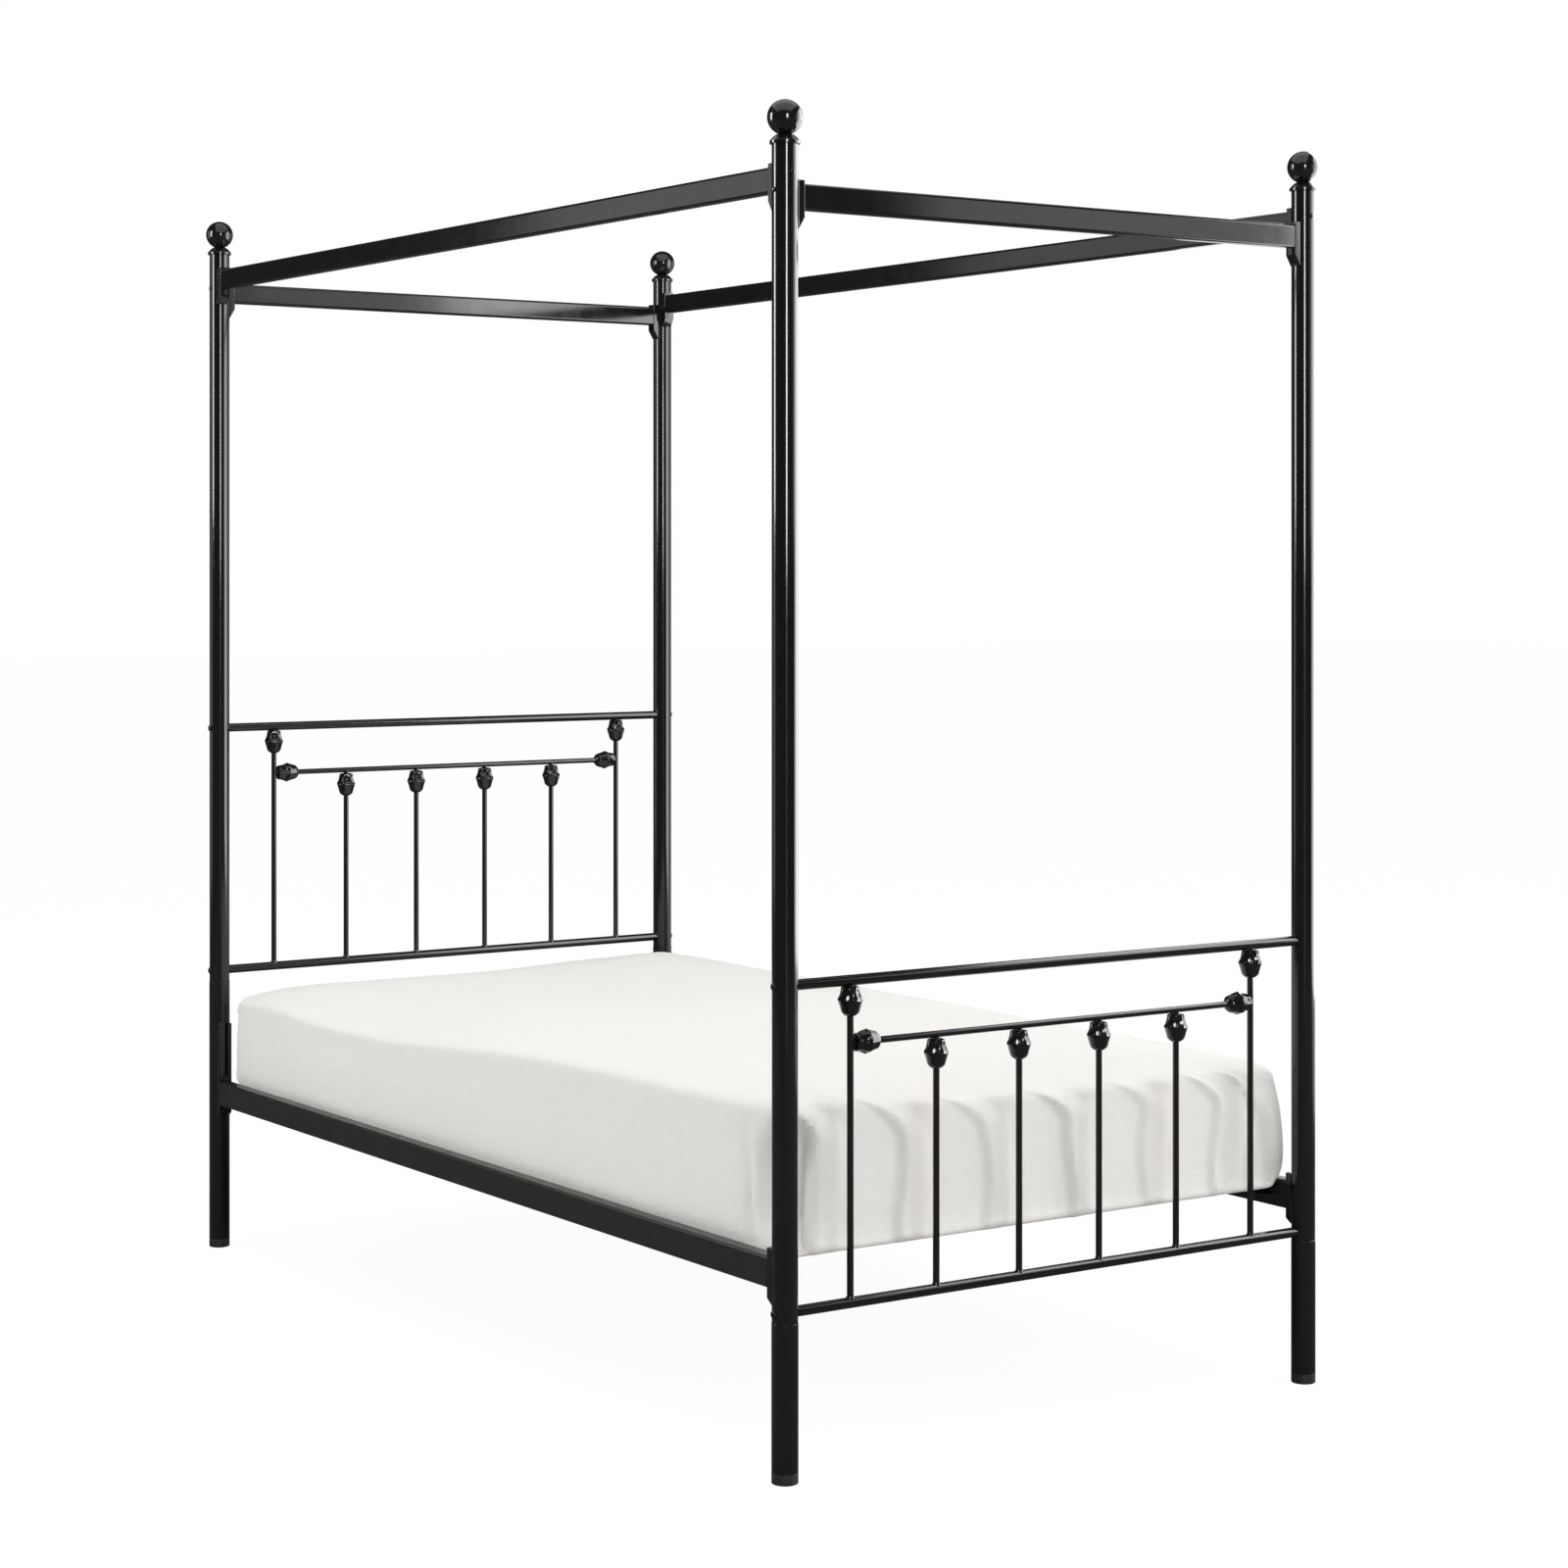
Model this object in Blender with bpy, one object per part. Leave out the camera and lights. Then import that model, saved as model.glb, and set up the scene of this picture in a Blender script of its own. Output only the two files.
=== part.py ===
"""Four poster canopy bed, twin size: black tubular steel frame, slats, mattress and fitted sheet.

Metres, +Z up. The origin is on the floor under the middle of the bed. The headboard is at +Y and
the footboard at -Y. X runs across the bed: left is -X and right is +X.
Pieces that touch keep GAP between their surfaces.
"""

from math import asin, cos, pi, radians, sin, sqrt

import bmesh
import bpy
from mathutils import Matrix, Vector

GAP = 0.0003

# Posts: round steel tube, each in a lower length (the leg) and an upper length
POST_X = 0.508
POST_Y = 0.965
POST_RADIUS = 0.019
POST_TOP = 1.920
TUBE_WALL = 0.0012
TUBE_CHAMFER = 0.0006
LEG_RADIUS = 0.0195
SEAM_HEIGHT = {"head": 0.513, "foot": 0.230}
NECK_LENGTH = 0.050
POST_SIDES = 24

# Foot glide: a plastic foot as wide as the leg, with a plug that fits the tube
GLIDE_HEIGHT = 0.016
GLIDE_PLUG = 0.014

# Finial: a ball on a domed rim, with a plug that fits the tube
RIM_RADIUS = 0.02225
BALL_RADIUS = 0.0258
BALL_HEIGHT = 1.9592
FINIAL_NECK_RADIUS = 0.009

# Headboard and footboard: the same welded panel at two heights
PANEL_LOW = {"head": 0.535, "foot": 0.244}
PANEL_RISE = 0.469
INNER_RAIL_RISE = 0.378
RAIL_RADIUS = 0.008
RAIL_WALL = 0.0012
INSERT_LENGTH = 0.015
SPINDLE_RADIUS = 0.005
SPINDLE_COUNT = 6
SPINDLE_SPACING = 0.157
ROD_SIDES = 16
HOLE_SIDES = 12

# Knob casting, from the end at the joint: distance along the rod, rib radius, flute radius
KNOB_SHAPE = (
    (0.0000, 0.0100, 0.0100),
    (0.0020, 0.0136, 0.0128),
    (0.0140, 0.0158, 0.0130),
    (0.0200, 0.0188, 0.0155),
    (0.0225, 0.0180, 0.0174),
    (0.0380, 0.0137, 0.0137),
    (0.0440, 0.0064, 0.0064),
)
KNOB_CLEARANCE = 0.0018

# Panel bolts: button head outside the post, shank through both its walls into the rail's insert
BOLT_RADIUS = 0.003
BOLT_HEAD_RADIUS = 0.006
BOLT_HEAD_HEIGHT = 0.0039
BOLT_REACH = 0.012
HOLE_RADIUS = 0.0033

# Sockets welded to the posts, and the tongues on the rail ends that drop into them.
# Distances out are from the post's axis.
SOCKET_ROOT = 0.010
SOCKET_FACE = 0.028
CAVITY_BACK = 0.0215
CAVITY_FRONT = 0.0255
SOCKET_SIDE_WALL = 0.0025
SLOT_WIDTH = 0.010
TONGUE_EMBED = 0.001

# Canopy rails: rectangular tube. The side rails sit one step higher than the end rails
CANOPY_WIDTH = 0.020
CANOPY_DEPTH = 0.038
CANOPY_CORNER = 0.005
CANOPY_WALL = 0.0012
CORNER_STEPS = 2
CANOPY_HEIGHT = {"side": 1.871, "end": 1.846}
CANOPY_SOCKET_WIDTH = 0.022
CANOPY_SOCKET_RISE = 0.024
CANOPY_SOCKET_DROP = 0.030
CANOPY_SOCKET_TAPER = 0.016
RIVET_RADIUS = 0.004
RIVET_HEIGHT = 0.0025
RIVET_OFFSET = 0.0085

# Bed side rails: rectangular tube with a ledge inside for the slats
SIDE_RAIL_WIDTH = 0.025
SIDE_RAIL_LOW = 0.276
SIDE_RAIL_HIGH = 0.322
SIDE_RAIL_CORNER = 0.004
SIDE_RAIL_WALL = 0.0015
SIDE_SOCKET_WIDTH = 0.026
SIDE_SOCKET_LOW = 0.255
SIDE_SOCKET_SHOULDER = 0.262
SIDE_SOCKET_HIGH = {"head": 0.434, "foot": 0.335}
SIDE_SOCKET_FLOOR = 0.012
SIDE_TONGUE_HIGH = 0.333
END_PLATE = 0.002
DRAIN_RADIUS = 0.003
DRAIN_INSET = 0.060
LEDGE_WIDTH = 0.020
LEDGE_THICKNESS = 0.002
LEDGE_INSET = 0.030

# Slats: flat steel tube on the ledges
SLAT_COUNT = 10
SLAT_PITCH = 0.190
SLAT_WIDTH = 0.040
SLAT_THICKNESS = 0.0128
SLAT_WALL = 0.001
SLAT_TOP = 0.3097

# Mattress and the fitted sheet over it
MATTRESS_WIDTH = 0.985
MATTRESS_LENGTH = 1.885
MATTRESS_LOW = 0.3100
MATTRESS_HIGH = 0.5160
MATTRESS_CORNER = 0.035
MATTRESS_EDGE = 0.024
MATTRESS_CORNER_STEPS = 6
MATTRESS_EDGE_STEPS = 3
SHEET_THICKNESS = 0.001

ENDS = {"foot": -1, "head": 1}
SIDES = {"left": -1, "right": 1}
SHARP_ANGLE = radians(35)

MATERIALS = {
    # name: (colour, roughness, metallic)
    "black_powder_coat": ((0.014, 0.014, 0.015), 0.28, 0.0),
    "black_casting": ((0.012, 0.012, 0.013), 0.24, 0.0),
    "black_bolt": ((0.020, 0.020, 0.021), 0.35, 0.6),
    "side_rail_coat": ((0.022, 0.021, 0.018), 0.42, 0.0),
    "slat_coat": ((0.030, 0.030, 0.030), 0.50, 0.0),
    "glide_plastic": ((0.012, 0.012, 0.012), 0.45, 0.0),
    "mattress_ticking": ((0.80, 0.79, 0.77), 0.90, 0.0),
    "cotton_sheet": ((0.86, 0.85, 0.83), 0.85, 0.0),
}


def clear_scene():
    for obj in list(bpy.data.objects):
        bpy.data.objects.remove(obj, do_unlink=True)


def make_materials():
    for name, (colour, roughness, metallic) in MATERIALS.items():
        material = bpy.data.materials.new(name)
        material.use_nodes = True
        shader = material.node_tree.nodes["Principled BSDF"]
        shader.inputs["Base Color"].default_value = (*colour, 1.0)
        shader.inputs["Roughness"].default_value = roughness
        shader.inputs["Metallic"].default_value = metallic


def add_object(name, bm):
    """A new object in the scene with this mesh, its faces pointing out."""
    bmesh.ops.recalc_face_normals(bm, faces=bm.faces)
    mesh = bpy.data.meshes.new(name)
    bm.to_mesh(mesh)
    bm.free()
    obj = bpy.data.objects.new(name, mesh)
    bpy.context.scene.collection.objects.link(obj)
    return obj


def boolean(obj, tool_bm, operation):
    """Joins the tool's solid to the object, or cuts it away, and keeps the result as its mesh."""
    tool = add_object("tool", tool_bm)
    modifier = obj.modifiers.new("Boolean", "BOOLEAN")
    modifier.operation = operation
    modifier.solver = "EXACT"
    modifier.object = tool
    graph = bpy.context.evaluated_depsgraph_get()
    result = bpy.data.meshes.new_from_object(obj.evaluated_get(graph))
    obj.modifiers.remove(modifier)
    old = obj.data
    obj.data = result
    bpy.data.meshes.remove(old)
    tool_mesh = tool.data
    bpy.data.objects.remove(tool, do_unlink=True)
    bpy.data.meshes.remove(tool_mesh)


def carved(bm, cuts):
    """The solid after these cutters have been taken away from it."""
    obj = add_object("carved", bm)
    for tool in cuts:
        boolean(obj, tool, "DIFFERENCE")
    result = bmesh.new()
    result.from_mesh(obj.data)
    mesh = obj.data
    bpy.data.objects.remove(obj, do_unlink=True)
    bpy.data.meshes.remove(mesh)
    return result


def build(name, bm, material, location=(0, 0, 0), turn=None, joins=(), cuts=()):
    """One finished piece: its solid, what is joined to it and cut from it, its place and finish."""
    obj = add_object(name, bm)
    for tool in joins:
        boolean(obj, tool, "UNION")
    for tool in cuts:
        boolean(obj, tool, "DIFFERENCE")
    obj.data.name = name
    obj.data.materials.clear()
    obj.data.materials.append(bpy.data.materials[material])
    obj.data.shade_smooth()
    obj.data.set_sharp_from_angle(angle=SHARP_ANGLE)
    obj.location = location
    if turn is not None:
        obj.rotation_euler = turn
    return obj


def bridge(bm, low, high):
    """Faces between two loops of the same length. A loop of one repeated vertex is a pole."""
    for i, corner in enumerate(low):
        j = (i + 1) % len(low)
        corners = dict.fromkeys((corner, low[j], high[j], high[i]))
        bm.faces.new(corners)


def turned(rings, sides, closed=False):
    """A solid turned about Z from rings of (radius, height) or (rib radius, height, flute radius).

    A height may be a function of the offset y. Every second vertex of a ring is in a flute.
    A closed profile makes a tube; otherwise the rings start and end with radius 0.
    """
    bm = bmesh.new()
    loops = []
    for radius, height, *flute in rings:
        if radius == 0:
            level = height(0) if callable(height) else height
            loops.append([bm.verts.new((0, 0, level))] * sides)
            continue
        loop = []
        for i in range(sides):
            angle = 2 * pi * (i + 0.5) / sides
            r = flute[0] if flute and i % 2 else radius
            y = r * sin(angle)
            level = height(y) if callable(height) else height
            loop.append(bm.verts.new((r * cos(angle), y, level)))
        loops.append(loop)
    for low, high in zip(loops, loops[1:]):
        bridge(bm, low, high)
    if closed:
        bridge(bm, loops[-1], loops[0])
    return bm


def coped(centre, radius, side):
    """Height of an end cut to fit round a crossing tube, as a function of the offset y."""
    reach = radius + GAP
    return lambda y: centre + side * sqrt(reach**2 - y**2)


def coped_cap(radius, height):
    """Rings from the axis out to the rim of a coped end."""
    return [(radius * part, height) for part in (0, 0.6, 1)]


def arc(centre_r, centre_z, radius, start, stop, steps):
    """Points (r, z) on a circular arc, by angle from the +r direction, in degrees."""
    points = []
    for i in range(steps + 1):
        angle = radians(start + (stop - start) * i / steps)
        points.append((centre_r + radius * cos(angle), centre_z + radius * sin(angle)))
    return points


def rounded_rectangle(width, height, radius, steps):
    """Corner points, anticlockwise, of a rectangle about the origin with round corners."""
    points = []
    for quarter, (sx, sy) in enumerate(((1, 1), (-1, 1), (-1, -1), (1, -1))):
        centre = (sx * (width / 2 - radius), sy * (height / 2 - radius))
        points += arc(*centre, radius, 90 * quarter, 90 * quarter + 90, steps)
    return points


def prism(outline, low, high, axes="xyz"):
    """An outline extruded from low to high. axes says where its u, v and extrusion go.

    For instance "yzx" puts u on Y and v on Z, and extrudes along X.
    """
    bm = bmesh.new()
    order = [axes.index(letter) for letter in "xyz"]
    loops = []
    for level in (low, high):
        loop = []
        for u, v in outline:
            values = (u, v, level)
            loop.append(bm.verts.new([values[k] for k in order]))
        loops.append(loop)
    bridge(bm, *loops)
    for loop in loops:
        bm.faces.new(loop)
    return bm


def rectangle(u_low, u_high, v_low, v_high):
    return [(u_low, v_low), (u_high, v_low), (u_high, v_high), (u_low, v_high)]


def aimed(bm, direction):
    """The solid, built for a rail that leaves the post along +Y, turned towards direction."""
    angle = Vector((0, 1)).angle_signed(Vector(direction[:2]))
    bmesh.ops.rotate(bm, verts=bm.verts, matrix=Matrix.Rotation(-angle, 3, "Z"))
    return bm


def bolt_hole(height):
    """A cutter for the bolt's hole straight through a post along X, at this height."""
    reach = 2 * POST_RADIUS
    rings = [(0, -reach), (HOLE_RADIUS, -reach), (HOLE_RADIUS, reach), (0, reach)]
    bm = turned(rings, HOLE_SIDES)
    bmesh.ops.rotate(bm, verts=bm.verts, matrix=Matrix.Rotation(pi / 2, 3, "Y"))
    bmesh.ops.translate(bm, verts=bm.verts, vec=(0, 0, height))
    return bm


# Sockets and tongues


def tee_outline(width, slack, front):
    """T shape of a socket's cavity and slot, made smaller by slack on each side for a tongue."""
    head = width / 2 - SOCKET_SIDE_WALL - slack
    neck = SLOT_WIDTH / 2 - slack
    back = CAVITY_BACK + slack
    step = CAVITY_FRONT - slack
    return [
        (-head, back),
        (head, back),
        (head, step),
        (neck, step),
        (neck, front),
        (-neck, front),
        (-neck, step),
        (-head, step),
    ]


def socket(direction, width, low, shoulder, high, floor):
    """A rail socket: straight above its shoulder and tapered to the post below.

    Its back fits the post's tube, and its cavity is open at the top and front.
    """
    in_wall = POST_RADIUS - TUBE_WALL / 2
    outline = [
        (SOCKET_ROOT, low),
        (in_wall, low),
        (SOCKET_FACE, shoulder),
        (SOCKET_FACE, high),
        (SOCKET_ROOT, high),
    ]
    block = prism(outline, -width / 2, width / 2, "yzx")
    beyond = high + SOCKET_FACE
    core = [(0, low - SOCKET_FACE), (in_wall, low - SOCKET_FACE), (in_wall, beyond), (0, beyond)]
    cavity = tee_outline(width, 0, SOCKET_FACE + TONGUE_EMBED)
    cuts = [turned(core, POST_SIDES), prism(cavity, floor, beyond, "xyz")]
    return aimed(carved(block, cuts), direction)


def rail_tongue(direction, width, floor, high, post_at):
    """The tongue of a rail end, in the rail's own frame, with the post's axis at post_at."""
    outline = tee_outline(width, GAP, SOCKET_FACE + GAP + TONGUE_EMBED)
    bm = aimed(prism(outline, floor + GAP, high, "xyz"), direction)
    bmesh.ops.translate(bm, verts=bm.verts, vec=post_at)
    return bm


def canopy_socket_span(run):
    """Lowest point, shoulder and top of a canopy socket for a side rail or an end rail."""
    middle = CANOPY_HEIGHT[run]
    shoulder = middle - CANOPY_SOCKET_DROP
    return shoulder - CANOPY_SOCKET_TAPER, shoulder, middle + CANOPY_SOCKET_RISE


def canopy_rivet(direction, run):
    """A rivet head on the far side of the post from the canopy socket."""
    in_wall = POST_RADIUS - TUBE_WALL / 2
    out = POST_RADIUS + RIVET_HEIGHT
    rings = [
        (0, in_wall),
        (RIVET_RADIUS, in_wall),
        (RIVET_RADIUS, out - RIVET_HEIGHT / 2),
        (RIVET_RADIUS / 2, out),
        (0, out),
    ]
    bm = turned(rings, HOLE_SIDES)
    bmesh.ops.rotate(bm, verts=bm.verts, matrix=Matrix.Rotation(-pi / 2, 3, "X"))
    bmesh.ops.translate(bm, verts=bm.verts, vec=(0, 0, CANOPY_HEIGHT[run] + RIVET_OFFSET))
    return aimed(bm, [-part for part in direction])


def canopy_socket(direction, run):
    low, shoulder, high = canopy_socket_span(run)
    return socket(direction, CANOPY_SOCKET_WIDTH, low, shoulder, high, shoulder)


def side_socket(end):
    """The bed side rail's socket on a post or a leg."""
    floor = SIDE_SOCKET_LOW + SIDE_SOCKET_FLOOR
    return socket((0, -ENDS[end], 0), SIDE_SOCKET_WIDTH, SIDE_SOCKET_LOW, SIDE_SOCKET_SHOULDER,
                  SIDE_SOCKET_HIGH[end], floor)


# Posts


def make_post(side, end):
    """Upper length of one post, with its canopy sockets, rivet heads and bolt holes."""
    sx, sy = SIDES[side], ENDS[end]
    low = SEAM_HEIGHT[end] + GAP
    rings = [
        (POST_RADIUS - TUBE_CHAMFER, low),
        (POST_RADIUS, low + TUBE_CHAMFER),
        (POST_RADIUS, POST_TOP),
        (POST_RADIUS - TUBE_WALL, POST_TOP),
        (POST_RADIUS - TUBE_WALL, low),
    ]
    joins = []
    for run, direction in (("side", (0, -sy, 0)), ("end", (-sx, 0, 0))):
        joins += [canopy_socket(direction, run), canopy_rivet(direction, run)]
    if end == "foot":
        joins.append(side_socket(end))
    holes = [bolt_hole(PANEL_LOW[end]), bolt_hole(PANEL_LOW[end] + PANEL_RISE)]
    build(f"post_{end}_{side}", turned(rings, POST_SIDES, closed=True), "black_powder_coat",
          (sx * POST_X, sy * POST_Y, 0), joins=joins, cuts=holes)


def make_leg(side, end):
    """Lower length of one post, swaged to a neck that slides into the upper length."""
    seam = SEAM_HEIGHT[end]
    low = GLIDE_HEIGHT + GAP
    neck = POST_RADIUS - TUBE_WALL - GAP
    top = seam + NECK_LENGTH
    rings = [
        (LEG_RADIUS, low),
        (LEG_RADIUS, seam - TUBE_CHAMFER),
        (LEG_RADIUS - TUBE_CHAMFER, seam),
        (neck, seam),
        (neck, top),
        (neck - TUBE_WALL, top),
        (neck - TUBE_WALL, seam),
        (LEG_RADIUS - TUBE_WALL, seam - 2 * TUBE_WALL),
        (LEG_RADIUS - TUBE_WALL, low),
    ]
    joins = [side_socket(end)] if end == "head" else []
    build(f"leg_{end}_{side}", turned(rings, POST_SIDES, closed=True), "black_powder_coat",
          (SIDES[side] * POST_X, ENDS[end] * POST_Y, 0),
          joins=joins, cuts=[bolt_hole(PANEL_LOW[end])])


def make_glide(side, end):
    plug = LEG_RADIUS - TUBE_WALL - GAP
    edge = 0.0015
    top = GLIDE_HEIGHT + GLIDE_PLUG
    rings = [
        (0, 0),
        (LEG_RADIUS - edge, 0),
        (LEG_RADIUS, edge),
        (LEG_RADIUS, GLIDE_HEIGHT),
        (plug, GLIDE_HEIGHT),
        (plug, top - edge),
        (plug - edge, top),
        (0, top),
    ]
    place = (SIDES[side] * POST_X, ENDS[end] * POST_Y, 0)
    build(f"foot_glide_{end}_{side}", turned(rings, POST_SIDES), "glide_plastic", place)


def make_finial(side, end):
    """Plug, rim, dome and ball, turned in one piece."""
    plug = POST_RADIUS - TUBE_WALL - GAP
    plug_low = POST_TOP - 0.020
    rim_low = POST_TOP + GAP
    rim_high = 1.926
    edge = 0.0008
    neck_angle = -90 + 180 / pi * asin(FINIAL_NECK_RADIUS / BALL_RADIUS)
    neck_height = BALL_HEIGHT + BALL_RADIUS * sin(radians(neck_angle))
    dome_rise = neck_height - rim_high - edge
    rings = [(0, plug_low), (plug, plug_low), (plug, rim_low)]
    rings += [(RIM_RADIUS - edge, rim_low), (RIM_RADIUS, rim_low + edge)]
    rings += [(RIM_RADIUS, rim_high - edge), (RIM_RADIUS - edge, rim_high)]
    for part in (1 / 3, 2 / 3):
        radius = RIM_RADIUS - edge + (FINIAL_NECK_RADIUS - RIM_RADIUS + edge) * part
        rings.append((radius, rim_high + dome_rise * sin(part * pi / 2)))
    rings += arc(0, BALL_HEIGHT, BALL_RADIUS, neck_angle, 75, 8)
    rings.append((0, BALL_HEIGHT + BALL_RADIUS))
    place = (SIDES[side] * POST_X, ENDS[end] * POST_Y, 0)
    build(f"finial_{end}_{side}", turned(rings, POST_SIDES), "black_casting", place)


# Headboard and footboard


def knob_rings(joint, side):
    """Rings of a knob casting whose joint end is at height joint and which runs to side."""
    rings = [(rib, joint + side * along, flute) for along, rib, flute in KNOB_SHAPE]
    return rings if side > 0 else rings[::-1]


def make_panel_rail(end, name, height):
    """Top or bottom rail: a tube with a bored insert in each end, coped to fit the posts."""
    inner = RAIL_RADIUS - RAIL_WALL
    insert = POST_X - POST_RADIUS - INSERT_LENGTH
    right = coped(POST_X, POST_RADIUS, -1)
    left = coped(-POST_X, POST_RADIUS, 1)
    rings = [
        (RAIL_RADIUS, left),
        (RAIL_RADIUS, right),
        (HOLE_RADIUS, right),
        (HOLE_RADIUS, insert),
        (inner, insert),
        (inner, -insert),
        (HOLE_RADIUS, -insert),
        (HOLE_RADIUS, left),
    ]
    build(f"{end}board_{name}", turned(rings, ROD_SIDES, closed=True), "black_powder_coat",
          (0, ENDS[end] * POST_Y, height), turn=(0, pi / 2, 0))


def make_inner_rail(end, height, spindle_at):
    """Rod between the two outer spindles, with a knob casting at each end."""
    right = coped(spindle_at, SPINDLE_RADIUS, -1)
    left = coped(-spindle_at, SPINDLE_RADIUS, 1)
    knob_at = spindle_at - SPINDLE_RADIUS - KNOB_CLEARANCE
    rings = coped_cap(SPINDLE_RADIUS, left)
    rings += [(SPINDLE_RADIUS, -knob_at)] + knob_rings(-knob_at, 1)
    rings += [(SPINDLE_RADIUS, -knob_at + KNOB_SHAPE[-1][0])]
    rings += [(SPINDLE_RADIUS, knob_at - KNOB_SHAPE[-1][0])]
    rings += knob_rings(knob_at, -1) + [(SPINDLE_RADIUS, knob_at)]
    rings += coped_cap(SPINDLE_RADIUS, right)[::-1]
    build(f"{end}board_inner_rail", turned(rings, ROD_SIDES), "black_casting",
          (0, ENDS[end] * POST_Y, height), turn=(0, pi / 2, 0))


def make_spindle(end, number, x, low, high, top_radius):
    """Upright rod from the bottom rail to the rail above it, with a knob casting at its top."""
    knob_at = high - top_radius - (GAP if top_radius == RAIL_RADIUS else KNOB_CLEARANCE)
    rings = coped_cap(SPINDLE_RADIUS, coped(low, RAIL_RADIUS, 1))
    rings += [(SPINDLE_RADIUS, knob_at - KNOB_SHAPE[-1][0])]
    rings += knob_rings(knob_at, -1) + [(SPINDLE_RADIUS, knob_at)]
    rings += coped_cap(SPINDLE_RADIUS, coped(high, top_radius, -1))[::-1]
    build(f"{end}board_spindle_{number}", turned(rings, ROD_SIDES), "black_casting",
          (x, ENDS[end] * POST_Y, 0))


def make_panel(end):
    low = PANEL_LOW[end]
    top = low + PANEL_RISE
    inner = low + INNER_RAIL_RISE
    outer_x = SPINDLE_SPACING * (SPINDLE_COUNT - 1) / 2
    make_panel_rail(end, "bottom_rail", low)
    make_panel_rail(end, "top_rail", top)
    make_inner_rail(end, inner, outer_x)
    for number in range(1, SPINDLE_COUNT + 1):
        x = -outer_x + SPINDLE_SPACING * (number - 1)
        if number in (1, SPINDLE_COUNT):
            make_spindle(end, number, x, low, top, RAIL_RADIUS)
        else:
            make_spindle(end, number, x, low, inner, SPINDLE_RADIUS)


def make_panel_bolt(side, end, level, height):
    """Button-head bolt along X, its head on the outside of the post."""
    under = coped(0, POST_RADIUS, 1)
    tip = -POST_RADIUS - BOLT_REACH
    rings = [
        (0, tip),
        (BOLT_RADIUS, tip),
        (BOLT_RADIUS, under),
        (BOLT_HEAD_RADIUS, under),
        (BOLT_HEAD_RADIUS, POST_RADIUS + BOLT_HEAD_HEIGHT * 0.4),
        (BOLT_HEAD_RADIUS * 0.75, POST_RADIUS + BOLT_HEAD_HEIGHT * 0.85),
        (0, POST_RADIUS + BOLT_HEAD_HEIGHT),
    ]
    sx = SIDES[side]
    build(f"panel_bolt_{end}_{side}_{level}", turned(rings, HOLE_SIDES), "black_bolt",
          (sx * POST_X, ENDS[end] * POST_Y, height), turn=(0, sx * pi / 2, 0))


# Canopy rails, bed side rails and slats


def drain_hole(at, axis):
    """A cutter for a round drain hole through the bottom wall of a tube along Y or X."""
    low = -SIDE_RAIL_HIGH
    rings = [(0, low), (DRAIN_RADIUS, low), (DRAIN_RADIUS, 0), (0, 0)]
    bm = turned(rings, HOLE_SIDES)
    place = (0, at, 0) if axis == "y" else (at, 0, 0)
    bmesh.ops.translate(bm, verts=bm.verts, vec=place)
    return bm


def tube_rail(outer, inner, half, axis):
    """A tube along Y or X with closed ends, and the cutters of its inside and drain holes."""
    axes = "xzy" if axis == "y" else "yzx"
    cuts = [prism(inner, END_PLATE - half, half - END_PLATE, axes)]
    cuts += [drain_hole(side * (half - DRAIN_INSET), axis) for side in (-1, 1)]
    return prism(outer, -half, half, axes), cuts


def make_canopy_rail(name, run, place):
    """Rectangular tube between two posts, with a tongue at each end."""
    axis = "y" if run == "side" else "x"
    reach = POST_Y if run == "side" else POST_X
    half = reach - SOCKET_FACE - GAP
    inner_size = (CANOPY_WIDTH - 2 * CANOPY_WALL, CANOPY_DEPTH - 2 * CANOPY_WALL)
    outer = rounded_rectangle(CANOPY_WIDTH, CANOPY_DEPTH, CANOPY_CORNER, CORNER_STEPS)
    inner = rounded_rectangle(*inner_size, CANOPY_CORNER - CANOPY_WALL, CORNER_STEPS)
    _, shoulder, top = canopy_socket_span(run)
    floor, high = shoulder - CANOPY_HEIGHT[run], top - CANOPY_HEIGHT[run] - GAP
    tongues = []
    for side in (-1, 1):
        inward = (0, -side, 0) if axis == "y" else (-side, 0, 0)
        post_at = [-part * reach for part in inward]
        tongues.append(rail_tongue(inward, CANOPY_SOCKET_WIDTH, floor, high, post_at))
    solid, cuts = tube_rail(outer, inner, half, axis)
    build(name, solid, "black_powder_coat", (*place, CANOPY_HEIGHT[run]),
          joins=tongues, cuts=cuts)


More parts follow.
